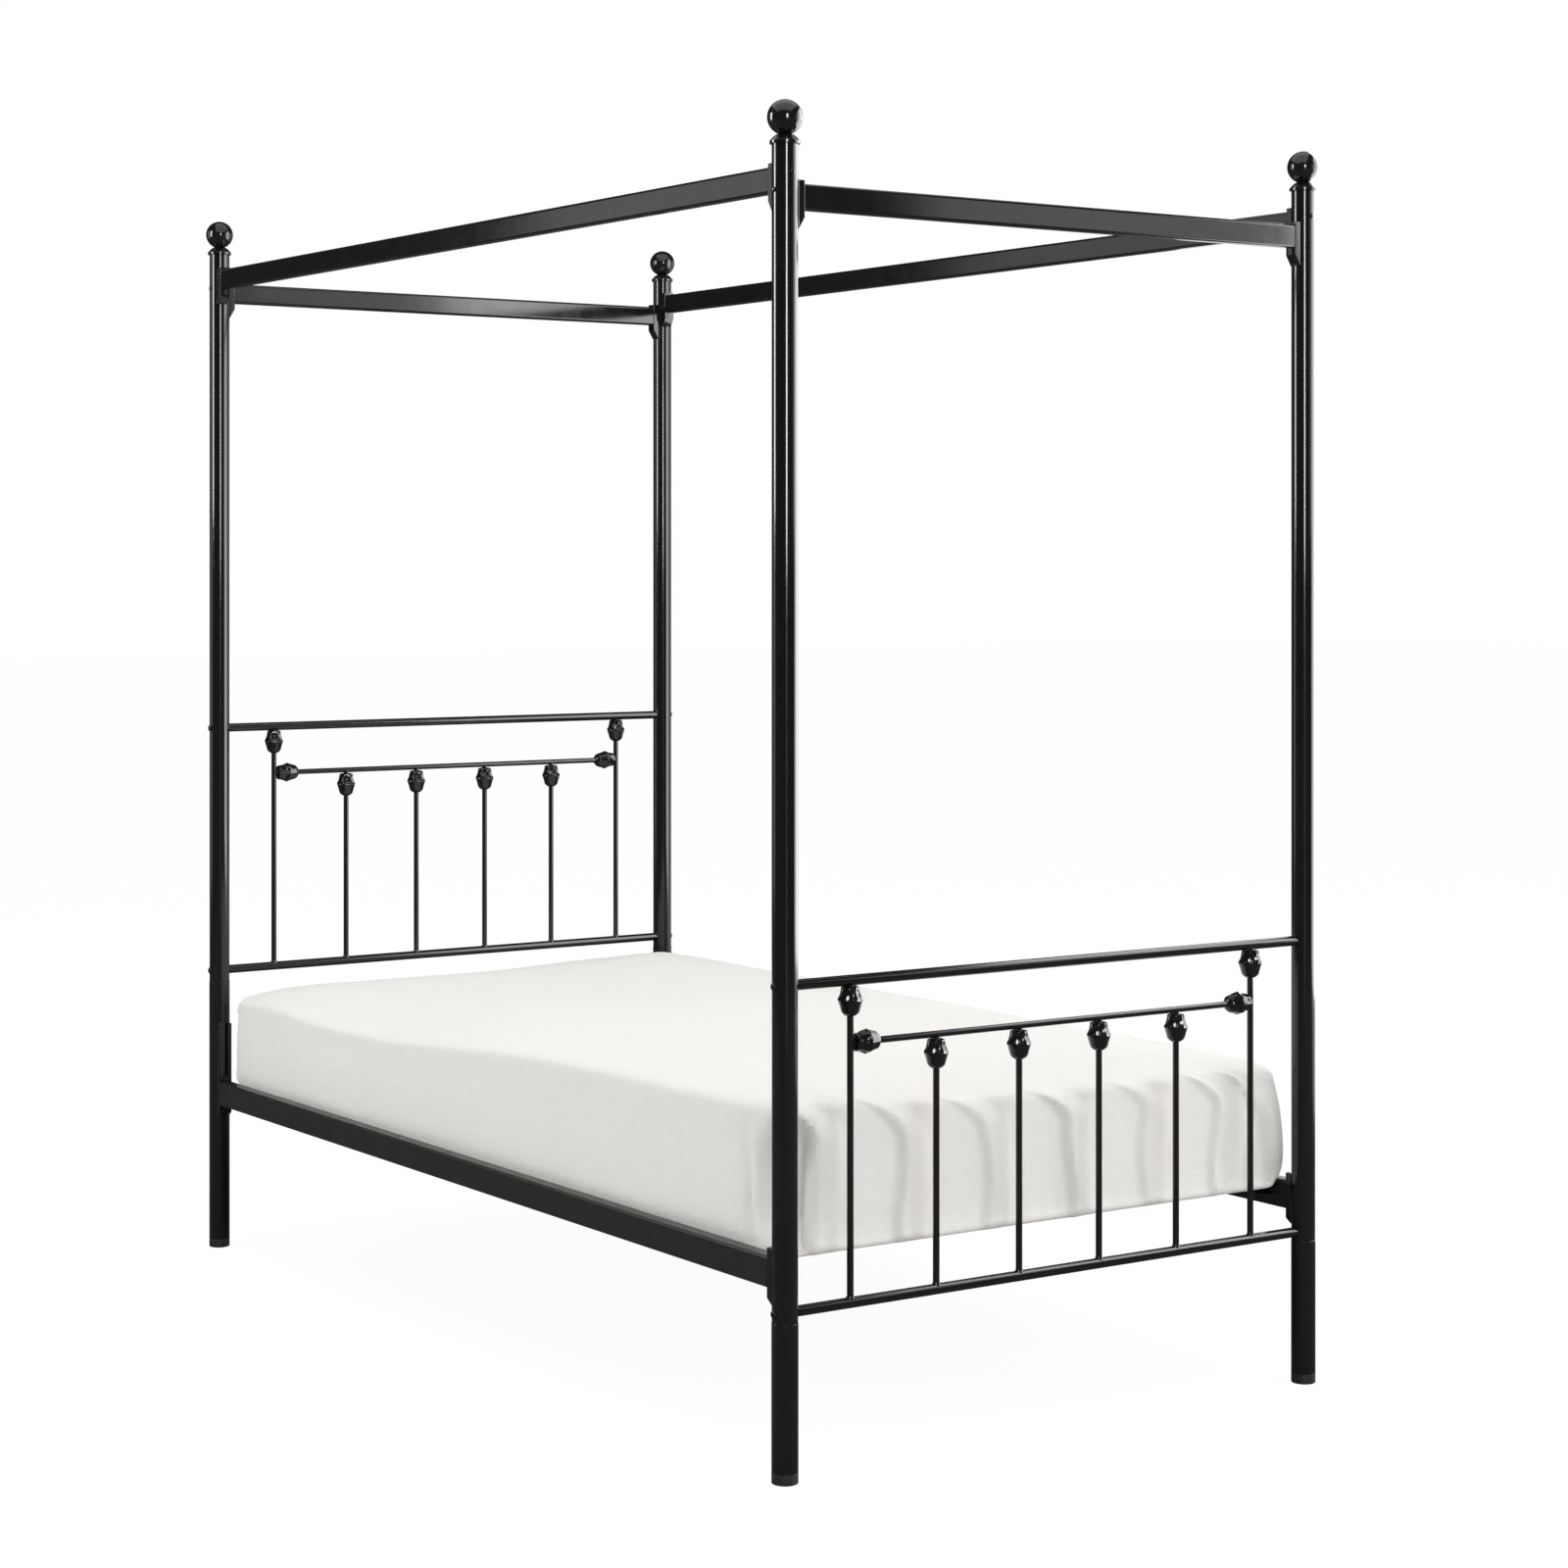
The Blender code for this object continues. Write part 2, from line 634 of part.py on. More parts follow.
def make_side_rail(side):
    """Bed side rail along Y, with a tongue at each end and the slat ledge inside."""
    sx = SIDES[side]
    middle = (SIDE_RAIL_LOW + SIDE_RAIL_HIGH) / 2
    depth = SIDE_RAIL_HIGH - SIDE_RAIL_LOW
    half = POST_Y - SOCKET_FACE - GAP
    inner_size = (SIDE_RAIL_WIDTH - 2 * SIDE_RAIL_WALL, depth - 2 * SIDE_RAIL_WALL)
    outer = rounded_rectangle(SIDE_RAIL_WIDTH, depth, SIDE_RAIL_CORNER, CORNER_STEPS)
    inner = rounded_rectangle(*inner_size, SIDE_RAIL_CORNER - SIDE_RAIL_WALL,
                              CORNER_STEPS)
    floor = SIDE_SOCKET_LOW + SIDE_SOCKET_FLOOR - middle
    tongues = []
    for end in (-1, 1):
        post_at = (0, end * POST_Y, 0)
        tongues.append(rail_tongue((0, -end, 0), SIDE_SOCKET_WIDTH, floor,
                                   SIDE_TONGUE_HIGH - middle, post_at))
    ledge_top = SLAT_TOP - SLAT_THICKNESS - GAP - middle
    ledge_x = sorted((-sx * (SIDE_RAIL_WIDTH / 2 - SIDE_RAIL_WALL / 2),
                      -sx * (SIDE_RAIL_WIDTH / 2 + LEDGE_WIDTH)))
    ledge = prism(rectangle(*ledge_x, ledge_top - LEDGE_THICKNESS, ledge_top),
                  LEDGE_INSET - half, half - LEDGE_INSET, "xzy")
    solid, cuts = tube_rail(outer, inner, half, "y")
    build(f"side_rail_{side}", solid, "side_rail_coat", (sx * POST_X, 0, middle),
          joins=[*tongues, ledge], cuts=cuts)


def make_slat(number):
    half = POST_X - SIDE_RAIL_WIDTH / 2 - 2 * GAP
    bottom = SLAT_TOP - SLAT_THICKNESS
    outer = rectangle(-SLAT_WIDTH / 2, SLAT_WIDTH / 2, 0, SLAT_THICKNESS)
    inner = rectangle(SLAT_WALL - SLAT_WIDTH / 2, SLAT_WIDTH / 2 - SLAT_WALL,
                      SLAT_WALL, SLAT_THICKNESS - SLAT_WALL)
    y = SLAT_PITCH * (number - (SLAT_COUNT + 1) / 2)
    build(f"slat_{number:02d}", prism(outer, -half, half, "yzx"), "slat_coat", (0, y, bottom),
          cuts=[prism(inner, -2 * half, 2 * half, "yzx")])


# Mattress and sheet


def mattress_loops(bm, offset, levels):
    """Loops round the mattress, grown by offset. Each level is (inset, height)."""
    loops = []
    for inset, height in levels:
        size = (MATTRESS_WIDTH - 2 * inset + 2 * offset, MATTRESS_LENGTH - 2 * inset + 2 * offset)
        corner = MATTRESS_CORNER - inset + offset
        outline = rounded_rectangle(*size, corner, MATTRESS_CORNER_STEPS)
        loops.append([bm.verts.new((x, y, height)) for x, y in outline])
    return loops


def edge_levels(top, offset):
    """(inset, height) down or up round the mattress's rolled edge, from its flat to its side."""
    centre = MATTRESS_HIGH - MATTRESS_EDGE if top else MATTRESS_LOW + MATTRESS_EDGE
    levels = []
    for i in range(MATTRESS_EDGE_STEPS + 1):
        angle = pi / 2 * i / MATTRESS_EDGE_STEPS
        rise = (MATTRESS_EDGE + offset) * cos(angle)
        inset = MATTRESS_EDGE - MATTRESS_EDGE * sin(angle)
        levels.append((inset, centre + rise if top else centre - rise))
    return levels


def make_mattress():
    bm = bmesh.new()
    levels = edge_levels(False, 0) + edge_levels(True, 0)[::-1]
    loops = mattress_loops(bm, 0, levels)
    for low, high in zip(loops, loops[1:]):
        bridge(bm, low, high)
    bm.faces.new(loops[0])
    bm.faces.new(loops[-1])
    build("mattress", bm, "mattress_ticking")


def make_fitted_sheet():
    """A thin cap over the mattress's top and sides, open below."""
    bm = bmesh.new()
    hem = (0, MATTRESS_LOW + MATTRESS_EDGE)
    skins = []
    for offset in (GAP, GAP + SHEET_THICKNESS):
        loops = mattress_loops(bm, offset, [hem] + edge_levels(True, offset)[::-1])
        for low, high in zip(loops, loops[1:]):
            bridge(bm, low, high)
        bm.faces.new(loops[-1])
        skins.append(loops[0])
    bridge(bm, *skins)
    build("fitted_sheet", bm, "cotton_sheet")


def make_bed():
    clear_scene()
    make_materials()
    for end in ENDS:
        for side in SIDES:
            make_post(side, end)
            make_leg(side, end)
            make_glide(side, end)
            make_finial(side, end)
            make_panel_bolt(side, end, "low", PANEL_LOW[end])
            make_panel_bolt(side, end, "high", PANEL_LOW[end] + PANEL_RISE)
        make_panel(end)
        make_canopy_rail(f"canopy_rail_{end}", "end", (0, ENDS[end] * POST_Y))
    for side in SIDES:
        make_canopy_rail(f"canopy_rail_{side}", "side", (SIDES[side] * POST_X, 0))
        make_side_rail(side)
    for number in range(1, SLAT_COUNT + 1):
        make_slat(number)
    make_mattress()
    make_fitted_sheet()


make_bed()
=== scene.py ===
"""The visual model of a four poster canopy bed with a mattress in a fitted sheet.

Metres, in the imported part's own frame: +Z up, the headboard at +Y, the footboard at -Y, left at
-X. Each plain CAD node is replaced by a detailed piece that has the node's name in its own.
"""

from math import asin, cos, degrees, pi, radians, sin, sqrt

import bmesh
import bpy
import numpy as np
from mathutils import Matrix, Vector, noise


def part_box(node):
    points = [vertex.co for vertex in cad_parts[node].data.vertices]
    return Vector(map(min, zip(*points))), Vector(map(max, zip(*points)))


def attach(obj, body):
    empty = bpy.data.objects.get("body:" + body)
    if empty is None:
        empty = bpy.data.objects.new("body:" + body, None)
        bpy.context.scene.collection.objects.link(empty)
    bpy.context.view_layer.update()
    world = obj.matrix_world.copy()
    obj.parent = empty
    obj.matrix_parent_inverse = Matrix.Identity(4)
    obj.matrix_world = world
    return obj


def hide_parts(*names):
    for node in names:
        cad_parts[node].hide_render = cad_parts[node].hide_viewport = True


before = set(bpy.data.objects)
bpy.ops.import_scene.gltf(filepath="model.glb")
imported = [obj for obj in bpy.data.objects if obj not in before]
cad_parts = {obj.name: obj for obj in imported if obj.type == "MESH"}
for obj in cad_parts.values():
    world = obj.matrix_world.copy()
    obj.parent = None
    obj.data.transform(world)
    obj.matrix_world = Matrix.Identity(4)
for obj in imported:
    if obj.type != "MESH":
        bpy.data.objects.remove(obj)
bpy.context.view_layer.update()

ENDS = {"foot": -1, "head": 1}
SIDES = {"left": -1, "right": 1}
GAP = 0.0003

# Round steel tube: upper posts, legs, panel rails and rods
POST_RADIUS = 0.019
LEG_RADIUS = 0.0195
TUBE_WALL = 0.0012
TUBE_EDGE = 0.0007
RAIL_RADIUS = 0.008
ROD_RADIUS = 0.005
POST_SIDES = 64
ROD_SIDES = 32
KNOB_SIDES = 64
EDGE_STEPS = 3

# Weld fillet round a rod's end: distance along the rod, radius beyond the rod's
WELD_FLARE = ((0.0, 0.0013), (0.0006, 0.0012), (0.0014, 0.0006), (0.0026, 0.0), (0.0036, 0.0))

# Foot glide and finial
GLIDE_HEIGHT = 0.016
GLIDE_EDGE = 0.0018
RIM_RADIUS = 0.02225
RIM_HEIGHT = 0.006
RIM_EDGE = 0.0010
BALL_RADIUS = 0.0258
FINIAL_NECK_RADIUS = 0.009
DOME_STEPS = 8
BALL_STEPS = 36
BALL_TOP_ANGLE = 87

# Knob casting, from its joint end: distance along the rod, rib radius, depth of the flutes
KNOB_SHAPE = (
    (0.0000, 0.0096, 0.0000), (0.0010, 0.0128, 0.0003), (0.0025, 0.0137, 0.0008),
    (0.0060, 0.0141, 0.0017), (0.0100, 0.0147, 0.0024), (0.0140, 0.0159, 0.0029),
    (0.0170, 0.0173, 0.0031), (0.0190, 0.0185, 0.0028), (0.0203, 0.0188, 0.0021),
    (0.0212, 0.0186, 0.0014), (0.0225, 0.0180, 0.0008), (0.0260, 0.0168, 0.0006),
    (0.0300, 0.0156, 0.0006), (0.0340, 0.0146, 0.0006), (0.0380, 0.0135, 0.0005),
    (0.0400, 0.0120, 0.0003), (0.0418, 0.0100, 0.0001), (0.0432, 0.0077, 0.0000),
    (0.0440, 0.0060, 0.0000),
)
KNOB_RIBS = 8
KNOB_CLEARANCE = 0.0018

# Panel bolt: a button head with a hexagon recess
BOLT_HEAD_RADIUS = 0.006
BOLT_HEAD_HEIGHT = 0.0039
BOLT_RECESS_RADIUS = 0.0026
BOLT_RECESS_DEPTH = 0.0024
BOLT_HEAD_STEPS = 7

# Rail sockets welded to the posts. Distances out are from the post's axis
SOCKET_ROOT = 0.010
SOCKET_FACE = 0.028
SOCKET_EDGE = 0.0014
CAVITY_BACK = 0.0215
CAVITY_FRONT = 0.0255
SOCKET_SIDE_WALL = 0.0025
SLOT_WIDTH = 0.010
TONGUE_EMBED = 0.001
CANOPY_SOCKET_WIDTH = 0.022
CANOPY_SOCKET_RISE = 0.024
CANOPY_SOCKET_DROP = 0.030
CANOPY_SOCKET_TAPER = 0.016
SIDE_SOCKET_WIDTH = 0.026
SIDE_SOCKET_LOW = 0.255
SIDE_SOCKET_SHOULDER = 0.262
SIDE_SOCKET_HIGH = {"head": 0.434, "foot": 0.335}
SIDE_SOCKET_FLOOR = 0.012
BEAD_RADIUS = 0.0015
BEAD_SIDES = 8
BEAD_STEPS = 14
BEAD_LUMPS = (0.16, 260)
RIVET_RADIUS = 0.004
RIVET_HEIGHT = 0.0025
RIVET_OFFSET = 0.0085
RIVET_STEPS = 6
HEAD_WALL_SHARE = 0.3

# Rectangular tube rails, the ledge inside the side rails, and the slats
CANOPY_SIZE = (0.020, 0.038)
CANOPY_CORNER = 0.005
SIDE_RAIL_SIZE = (0.025, 0.046)
SIDE_RAIL_CORNER = 0.004
SIDE_TONGUE_HIGH = 0.333
DRAIN_RADIUS = 0.003
DRAIN_DEPTH = 0.006
DRAIN_INSET = 0.060
LEDGE_WIDTH = 0.020
LEDGE_THICKNESS = 0.002
LEDGE_INSET = 0.030
SLAT_CORNER = 0.0025
CORNER_STEPS = 7

# Mattress body: the surface that the sheet is stretched over
BODY_HALF_WIDTH = 0.4938
BODY_HALF_LENGTH = 0.9300
BODY_LOW = 0.3102
BODY_HIGH = 0.5130
BODY_CORNER = 0.030
BODY_TOP_EDGE = 0.015
BODY_LOW_EDGE = 0.010
BODY_CELLS = (0.010, 0.020, 0.018)
EDGE_CELLS = (0.0, 0.0035, 0.0075, 0.013, 0.021)
RAIL_TOP = 0.322
RAIL_BLEND = 0.004
HEAD_LEAN = 0.014
HEAD_LEAN_HEIGHT = 0.108
END_LIMIT = 0.9455
LEVEL_SLACK = 0.0001
FACING_DOWN = -0.9

# The sides stand out over the side rails: how far, and where they start and draw back, as shares
# of the height above the rails
SIDE_BULGE = 0.0125
BULGE_START = (-0.01, 0.07)
BULGE_END = (0.25, 0.95)
BULGE_DRAWN_BACK = 0.55

# How far the top's left edge stands above or below the rest: y, rise. It spreads inward this
# far where it is above and where it is below, and starts TOP_ZONE above the bottom
TOP_ZONE = 0.08
LEFT_RISE = ((-0.94, 0.026), (-0.65, 0.019), (-0.45, 0.019), (-0.25, 0.014), (-0.05, 0.003),
             (0.15, -0.013), (0.30, -0.025), (0.60, -0.028), (0.94, -0.013))
LEFT_SPREAD = (0.26, 0.085)

# Where the filling stands higher or lower than the rest: x, y, spread in x, spread in y, height
HUMPS = (
    (-0.12, 0.96, 0.45, 0.14, -0.020),
    (-0.49, 0.93, 0.05, 0.05, -0.005),
    (0.49, -0.93, 0.05, 0.05, -0.012),
)

# Corners where the filling is drawn in, or stands out: x, y, spread, depth, top of the change.
# It fades over the first height from the bottom, and over the second from the top
HOLLOWS = (
    (-0.4938, -0.9300, 0.055, 0.025, 0.510),
    (0.4938, -0.9300, 0.045, -0.009, 0.505),
)
HOLLOW_FADE = (0.055, 0.08)

# The cloth simulation that fills the body out, and the farthest that it may move a point
SIM_FRAMES = 20
SIM_PRESSURE = 4.0
SIM_QUALITY = 5
SIM_TENSION = 12
SIM_BENDING = 4
SIM_CAP = 0.005

# Fitted sheet
SHEET_THICKNESS = 0.001
SHEET_TUCK = 0.050
RELIEF_LIMIT = 0.0095
FILLING_INSET = 0.0100
FILLING_GAP = 0.0012

# Arch folds at the ends. A fold rises within its step beside a crease and dies away between two
# shares of the way to the next. Near the top it curls over, from a little above the edge and
# through this much height. Waver: how far a crease sways, and how fast by height and by width.
# Variety: mean size, swing, and the rate and phase of the swing from fold to fold
FOLD_HEIGHT = 0.0150
FOLD_STEP = 0.017
FOLD_DECAY = (0.08, 0.48)
FOLD_CURL = 0.13
FOLD_CURL_ZONE = (0.02, 0.075)
FOLD_WAVER = (0.006, 31, 9)
FOLD_VARIETY = (0.75, 0.25, 2.4, 0.8)

# Where the folds start and are full: down from the top edge, along Y and round the corners
FOLD_FADE = (-0.02, 0.045)
FOLD_FROM_END = (0.80, 0.915)
FOLD_ROUND_CORNER = 0.03

# Where the creases are, along X
FOOT_FOLDS = (-0.452, -0.285, -0.124, 0.037, 0.189, 0.337, 0.416, 0.475)
HEAD_FOLDS = (-0.47, -0.36, -0.21, -0.02, 0.13, 0.30, 0.47)

# Tucks beside the corners: place along the edge at the hem, depth, lean, width
SIDE_TUCKS = ((-0.868, 0.0050, 0.10, 0.010), (0.862, 0.0030, -0.12, 0.008))
FOOT_TUCKS = ((-0.450, 0.0090, -0.04, 0.017), (0.474, 0.0090, -0.32, 0.012))
HEAD_TUCKS = ((-0.437, 0.0028, -0.10, 0.009), (0.452, 0.0035, -0.22, 0.009))

# Where tucks fade at the top and the hem, where they start and are full on the sides and the
# ends, and the roll of cloth beside each: its share of the depth, and how many widths away and wide
TUCK_FADE = ((0.505, 0.46), (BODY_LOW, 0.322))
TUCK_ZONES = ((0.475, 0.488), (0.912, 0.927))
TUCK_ROLL = (0.55, 2.2, 1.6)

# Unevenness of the cloth on upright faces, on the top and near its outline: height, scale along
# x, y and z, and where the noise is sampled
DRAPE = (0.0016, (7, 7, 1.8), 3.1)
SWELL = (0.0022, (5.5, 3.5, 2), 11.7)
RUFFLE = (0.0007, (24, 24, 9), 23.9)
RUFFLE_WIDTH = 0.16

# Gathers along the hem: height, rate and sway, and where they start and are full above it
GATHERS = (0.0006, 170, 2.5)
GATHER_ZONE = (0.05, 0.005)
HEM_ZONE = 0.012
QUILT_PITCH = 0.095
QUILT_DEPTH = 0.0030

# Mesh limits: an edge sharper than this is kept or rounded, and the smallest length that counts
SHARP_ANGLE = radians(38)
FINE = 1e-9

# Noise in the finishes: scale, detail
COAT_PATCHES = (9, 4)
COAT_HAZE = (38, 5)
PEEL_FINER = 4
PEEL_SHALLOWER = 6
CLOTH_DRIFT = (2.2, 3)
CLOTH_CREASE = (28, 3)
CLOTH_CREASE_DEPTH = 0.0006
SLUBS = (240, 3)
SLUB_STRETCH = 0.12
SLUB_SHADE = 0.86
CLOTH_ROUGHNESS = (0.82, 0.92)
CLOTH_SHEEN_ROUGHNESS = 0.45
CLOTH_SPECULAR = 0.25

# World and floor: how bright for matt surfaces, in reflections and to the camera
WORLD_FILL = 0.55
WORLD_REFLECTED = 0.05
FLOOR_HALF = 40.0
FLOOR_GLOW = 0.94
FLOOR_SHADE = 0.09
FLOOR_BOUNCE = 0.48
FLOOR_REFLECTED = 0.15

# Softboxes: name, place, target, size, radiance, and whether each is only seen in reflections,
# only lights matt surfaces, or both
LIGHTS = (
    ("overhead", (-0.4, -0.5, 3.5), (0, 0, 0), (3.4, 3.8), 1.35, "both"),
    ("front_fill", (2.6, -5.0, 2.4), (0, 0, 0.5), (9.0, 3.0), 2.7, "lit"),
    ("left_fill", (-4.6, 0.6, 2.0), (0, 0, 0.4), (3.0, 3.0), 3.0, "lit"),
    ("left_strip", (-3.07, 1.42, 2.35), (-0.5, -0.97, 2.35), (0.74, 1.8), 18, "seen"),
    ("left_haze", (-5.0, 4.6, 2.1), (-0.5, -0.5, 1.8), (3.0, 4.0), 1.0, "seen"),
    ("front_strip", (-1.95, -5.2, 2.25), (0, 0, 2.25), (0.75, 1.8), 24, "seen"),
    ("front_glow", (-1.95, -5.1, 1.1), (0, 0, 1.1), (0.75, 2.2), 0.6, "seen"),
    ("right_panel", (1.75, -1.15, 1.78), (0.2, -1.15, 1.78), (2.3, 2.65), 6, "seen"),
    ("right_glow", (1.75, -2.75, 2.0), (0, -1.15, 2.0), (1.1, 1.2), 1.6, "seen"),
    ("right_edge", (2.7, -0.4, 1.3), (0, -0.4, 1.3), (4.4, 2.5), 1.1, "seen"),
)

CAMERA_PLACE = (-3.0926, -4.7113, 1.3088)
CAMERA_TURN = (radians(90), 0, radians(-34.0))
CAMERA_LENS = 72.85
CAMERA_SHIFT = (0.0207, -0.1361)


def box_middle(node):
    low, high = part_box(node)
    return (low + high) / 2


POST_Y = box_middle("foot_glide_head_left").y
POST_X = box_middle("foot_glide_head_right").x


# Materials


def feed(tree, node, inputs):
    """Links a node's inputs, by name or number, to sockets, or sets them to plain values."""
    for name, value in inputs.items():
        if isinstance(value, bpy.types.NodeSocket):
            tree.links.new(value, node.inputs[name])
        else:
            node.inputs[name].default_value = value


def add_node(tree, kind, output, inputs, **settings):
    """The output of a new shader node with these inputs and settings."""
    node = tree.nodes.new("ShaderNode" + kind)
    for name, value in settings.items():
        setattr(node, name, value)
    feed(tree, node, inputs)
    return node.outputs[output]


def new_material(name):
    """A node material with object coordinates ready. Returns its tree, shader and coordinates."""
    material = bpy.data.materials.new(name + "_look")
    material.use_nodes = True
    tree = material.node_tree
    MATERIALS[name] = material
    return tree, tree.nodes["Principled BSDF"], add_node(tree, "TexCoord", "Object", {})


def add_noise(tree, place, scale, detail=2.0, stretch=(1, 1, 1)):
    """A noise value over the object, stretched along its axes."""
    spot = add_node(tree, "Mapping", "Vector", {"Scale": stretch, "Vector": place})
    return add_node(tree, "TexNoise", "Fac", {"Scale": scale, "Detail": detail, "Vector": spot})


def add_range(tree, value, low, high, start=0.3, stop=0.7):
    """The value carried from start..stop to low..high."""
    return add_node(tree, "MapRange", "Result", {
        "Value": value, "From Min": start, "From Max": stop, "To Min": low, "To Max": high})


def add_mix(tree, value, first, second):
    """A colour between two, by a value from 0 to 1. Each may be a colour or a socket."""
    node = tree.nodes.new("ShaderNodeMix")
    node.data_type = "RGBA"
    tree.links.new(value, node.inputs["Factor"])
    for name, colour in (("A", first), ("B", second)):
        socket = next(s for s in node.inputs if s.name == name and s.type == "RGBA")
        if isinstance(colour, bpy.types.NodeSocket):
            tree.links.new(colour, socket)
        else:
            socket.default_value = (*colour, 1.0)
    return next(s for s in node.outputs if s.type == "RGBA")


def add_math(tree, operation, first, second):
    return add_node(tree, "Math", "Value", {0: first, 1: second}, operation=operation)


def add_bump(tree, height, distance, under=None):
    """Normals bent by a height, over those of another bump where one is given."""
    inputs = {"Height": height, "Distance": distance, "Strength": 1.0}
    if under is not None:
        inputs["Normal"] = under
    return add_node(tree, "Bump", "Normal", inputs)


def add_wave(tree, place, direction, pitch):
    """Bands across one axis, this far apart."""
    return add_node(tree, "TexWave", "Fac", {"Scale": 2 * pi / (20 * pitch), "Vector": place},
                    bands_direction=direction)


def coating(name, dark, light, gloss, dull, peel, peel_scale):
    """Powder coat: faint shade variation, patchy gloss and orange-peel texture."""
    tree, shader, place = new_material(name)
    patches = add_range(tree, add_noise(tree, place, *COAT_PATCHES), 0, 1)
    haze = add_noise(tree, place, *COAT_HAZE)
    coarse = add_bump(tree, add_noise(tree, place, peel_scale, 1), peel)
    ripples = add_noise(tree, place, peel_scale * PEEL_FINER, 2)
    feed(tree, shader, {
        "Base Color": add_mix(tree, patches, dark, light),
        "Roughness": add_range(tree, haze, gloss, dull),
        "Normal": add_bump(tree, ripples, peel / PEEL_SHALLOWER, coarse)})


def speckled(name, patch, dark, light, gloss, dull, grain, depth, metallic=0.0):
    """Shade and gloss that vary in the same patches, with a fine grain."""
    tree, shader, place = new_material(name)
    patches = add_range(tree, add_noise(tree, place, *patch), 0, 1)
    feed(tree, shader, {
        "Base Color": add_mix(tree, patches, dark, light),
        "Roughness": add_range(tree, patches, gloss, dull, 0, 1),
        "Metallic": metallic,
        "Normal": add_bump(tree, add_noise(tree, place, *grain), depth)})


def woven(name, warm, cool, pitch, thread_height, slub, sheen):
    """Plain weave: threads across each axis, slubs, and a slow drift of tone."""
    tree, shader, place = new_material(name)
    drift = add_range(tree, add_noise(tree, place, *CLOTH_DRIFT), 0, 1)
    tone = add_mix(tree, drift, warm, cool)
    slubs, threads = (add_range(tree, add_noise(tree, place, *SLUBS, stretch), 0, 1)
                      for stretch in ((1, SLUB_STRETCH, 1), (SLUB_STRETCH, 1, 1)))
    mottle = add_math(tree, "MULTIPLY", add_math(tree, "ADD", slubs, threads), slub)
    darker = tuple(SLUB_SHADE * part for part in warm)
    waves = [add_wave(tree, place, axis, pitch) for axis in "XYZ"]
    cloth = add_math(tree, "ADD", add_math(tree, "ADD", waves[0], waves[1]), waves[2])
    crease = add_bump(tree, add_noise(tree, place, *CLOTH_CREASE), CLOTH_CREASE_DEPTH)
    rough = add_bump(tree, slubs, thread_height, crease)
    feed(tree, shader, {
        "Base Color": add_mix(tree, mottle, tone, darker),
        "Roughness": add_range(tree, drift, *CLOTH_ROUGHNESS, 0, 1),
        "Normal": add_bump(tree, cloth, thread_height, rough),
        "Sheen Weight": sheen,
        "Sheen Roughness": CLOTH_SHEEN_ROUGHNESS,
        "Specular IOR Level": CLOTH_SPECULAR})


def make_materials():
    coating("black_powder_coat", (0.0050, 0.0050, 0.0056), (0.0066, 0.0066, 0.0070),
            0.09, 0.13, 0.0000035, 130)
    coating("black_casting", (0.0048, 0.0048, 0.0052), (0.0070, 0.0070, 0.0070),
            0.10, 0.15, 0.0000080, 160)
    coating("side_rail_coat", (0.0090, 0.0084, 0.0068), (0.0120, 0.0112, 0.0090),
            0.26, 0.34, 0.0000060, 160)
    coating("slat_coat", (0.012, 0.012, 0.012), (0.019, 0.019, 0.018),
            0.40, 0.52, 0.000008, 200)
    speckled("black_bolt", (300, 4), (0.012, 0.012, 0.013), (0.035, 0.034, 0.034), 0.28, 0.42,
             (1500, 2, (1, 0.1, 0.1)), 0.00003, 0.7)
    speckled("glide_plastic", (70, 5), (0.010, 0.010, 0.010), (0.022, 0.021, 0.020), 0.46, 0.62,
             (2600, 3), 0.00008)
    woven("mattress_ticking", (0.72, 0.70, 0.66), (0.78, 0.77, 0.75), 0.0016, 0.00018, 0.35, 0.2)
    woven("cotton_sheet", (0.805, 0.786, 0.752), (0.815, 0.802, 0.778), 0.0011, 0.00010, 0.12,
          0.15)


# Mesh helpers


def in_scene(name, data):
    obj = bpy.data.objects.new(name, data)
    bpy.context.scene.collection.objects.link(obj)
    return obj


def add_object(name, bm):
    """A new object in the scene with this mesh, its faces pointing out."""
    bmesh.ops.recalc_face_normals(bm, faces=bm.faces)
    mesh = bpy.data.meshes.new(name)
    bm.to_mesh(mesh)
    bm.free()
    return in_scene(name, mesh)


def drop(obj):
    mesh = obj.data
    bpy.data.objects.remove(obj, do_unlink=True)
    bpy.data.meshes.remove(mesh)


def evaluated(obj):
    """A new mesh with the object's modifiers in it."""
    graph = bpy.context.evaluated_depsgraph_get()
    return bpy.data.meshes.new_from_object(obj.evaluated_get(graph))


def modified(bm, kind, **settings):
    """The mesh after one modifier."""
    obj = add_object("work", bm)
    modifier = obj.modifiers.new(kind, kind)
    for name, value in settings.items():
        setattr(modifier, name, value)
    mesh = evaluated(obj)
    result = bmesh.new()
    result.from_mesh(mesh)
    bpy.data.meshes.remove(mesh)
    drop(obj)
    return result


def rounded(bm, width, steps=EDGE_STEPS):
    """The solid with its sharp edges rounded."""
    return modified(bm, "BEVEL", width=width, segments=steps, limit_method="ANGLE",
                    angle_limit=SHARP_ANGLE)


def carved(bm, *cutters):
    """The solid after these cutters have been taken away from it."""
    for cutter in cutters:
        tool = add_object("tool", cutter)
        bm = modified(bm, "BOOLEAN", operation="DIFFERENCE", solver="EXACT", object=tool)
        drop(tool)
    return bm


def gathered(*parts):
    """One mesh of several shells."""
    whole = bmesh.new()
    for part in parts:
        mesh = bpy.data.meshes.new("part")
        part.to_mesh(mesh)
        part.free()
        whole.from_mesh(mesh)
        bpy.data.meshes.remove(mesh)
    return whole


def moved(bm, place):
    bmesh.ops.translate(bm, verts=bm.verts, vec=place)
    return bm


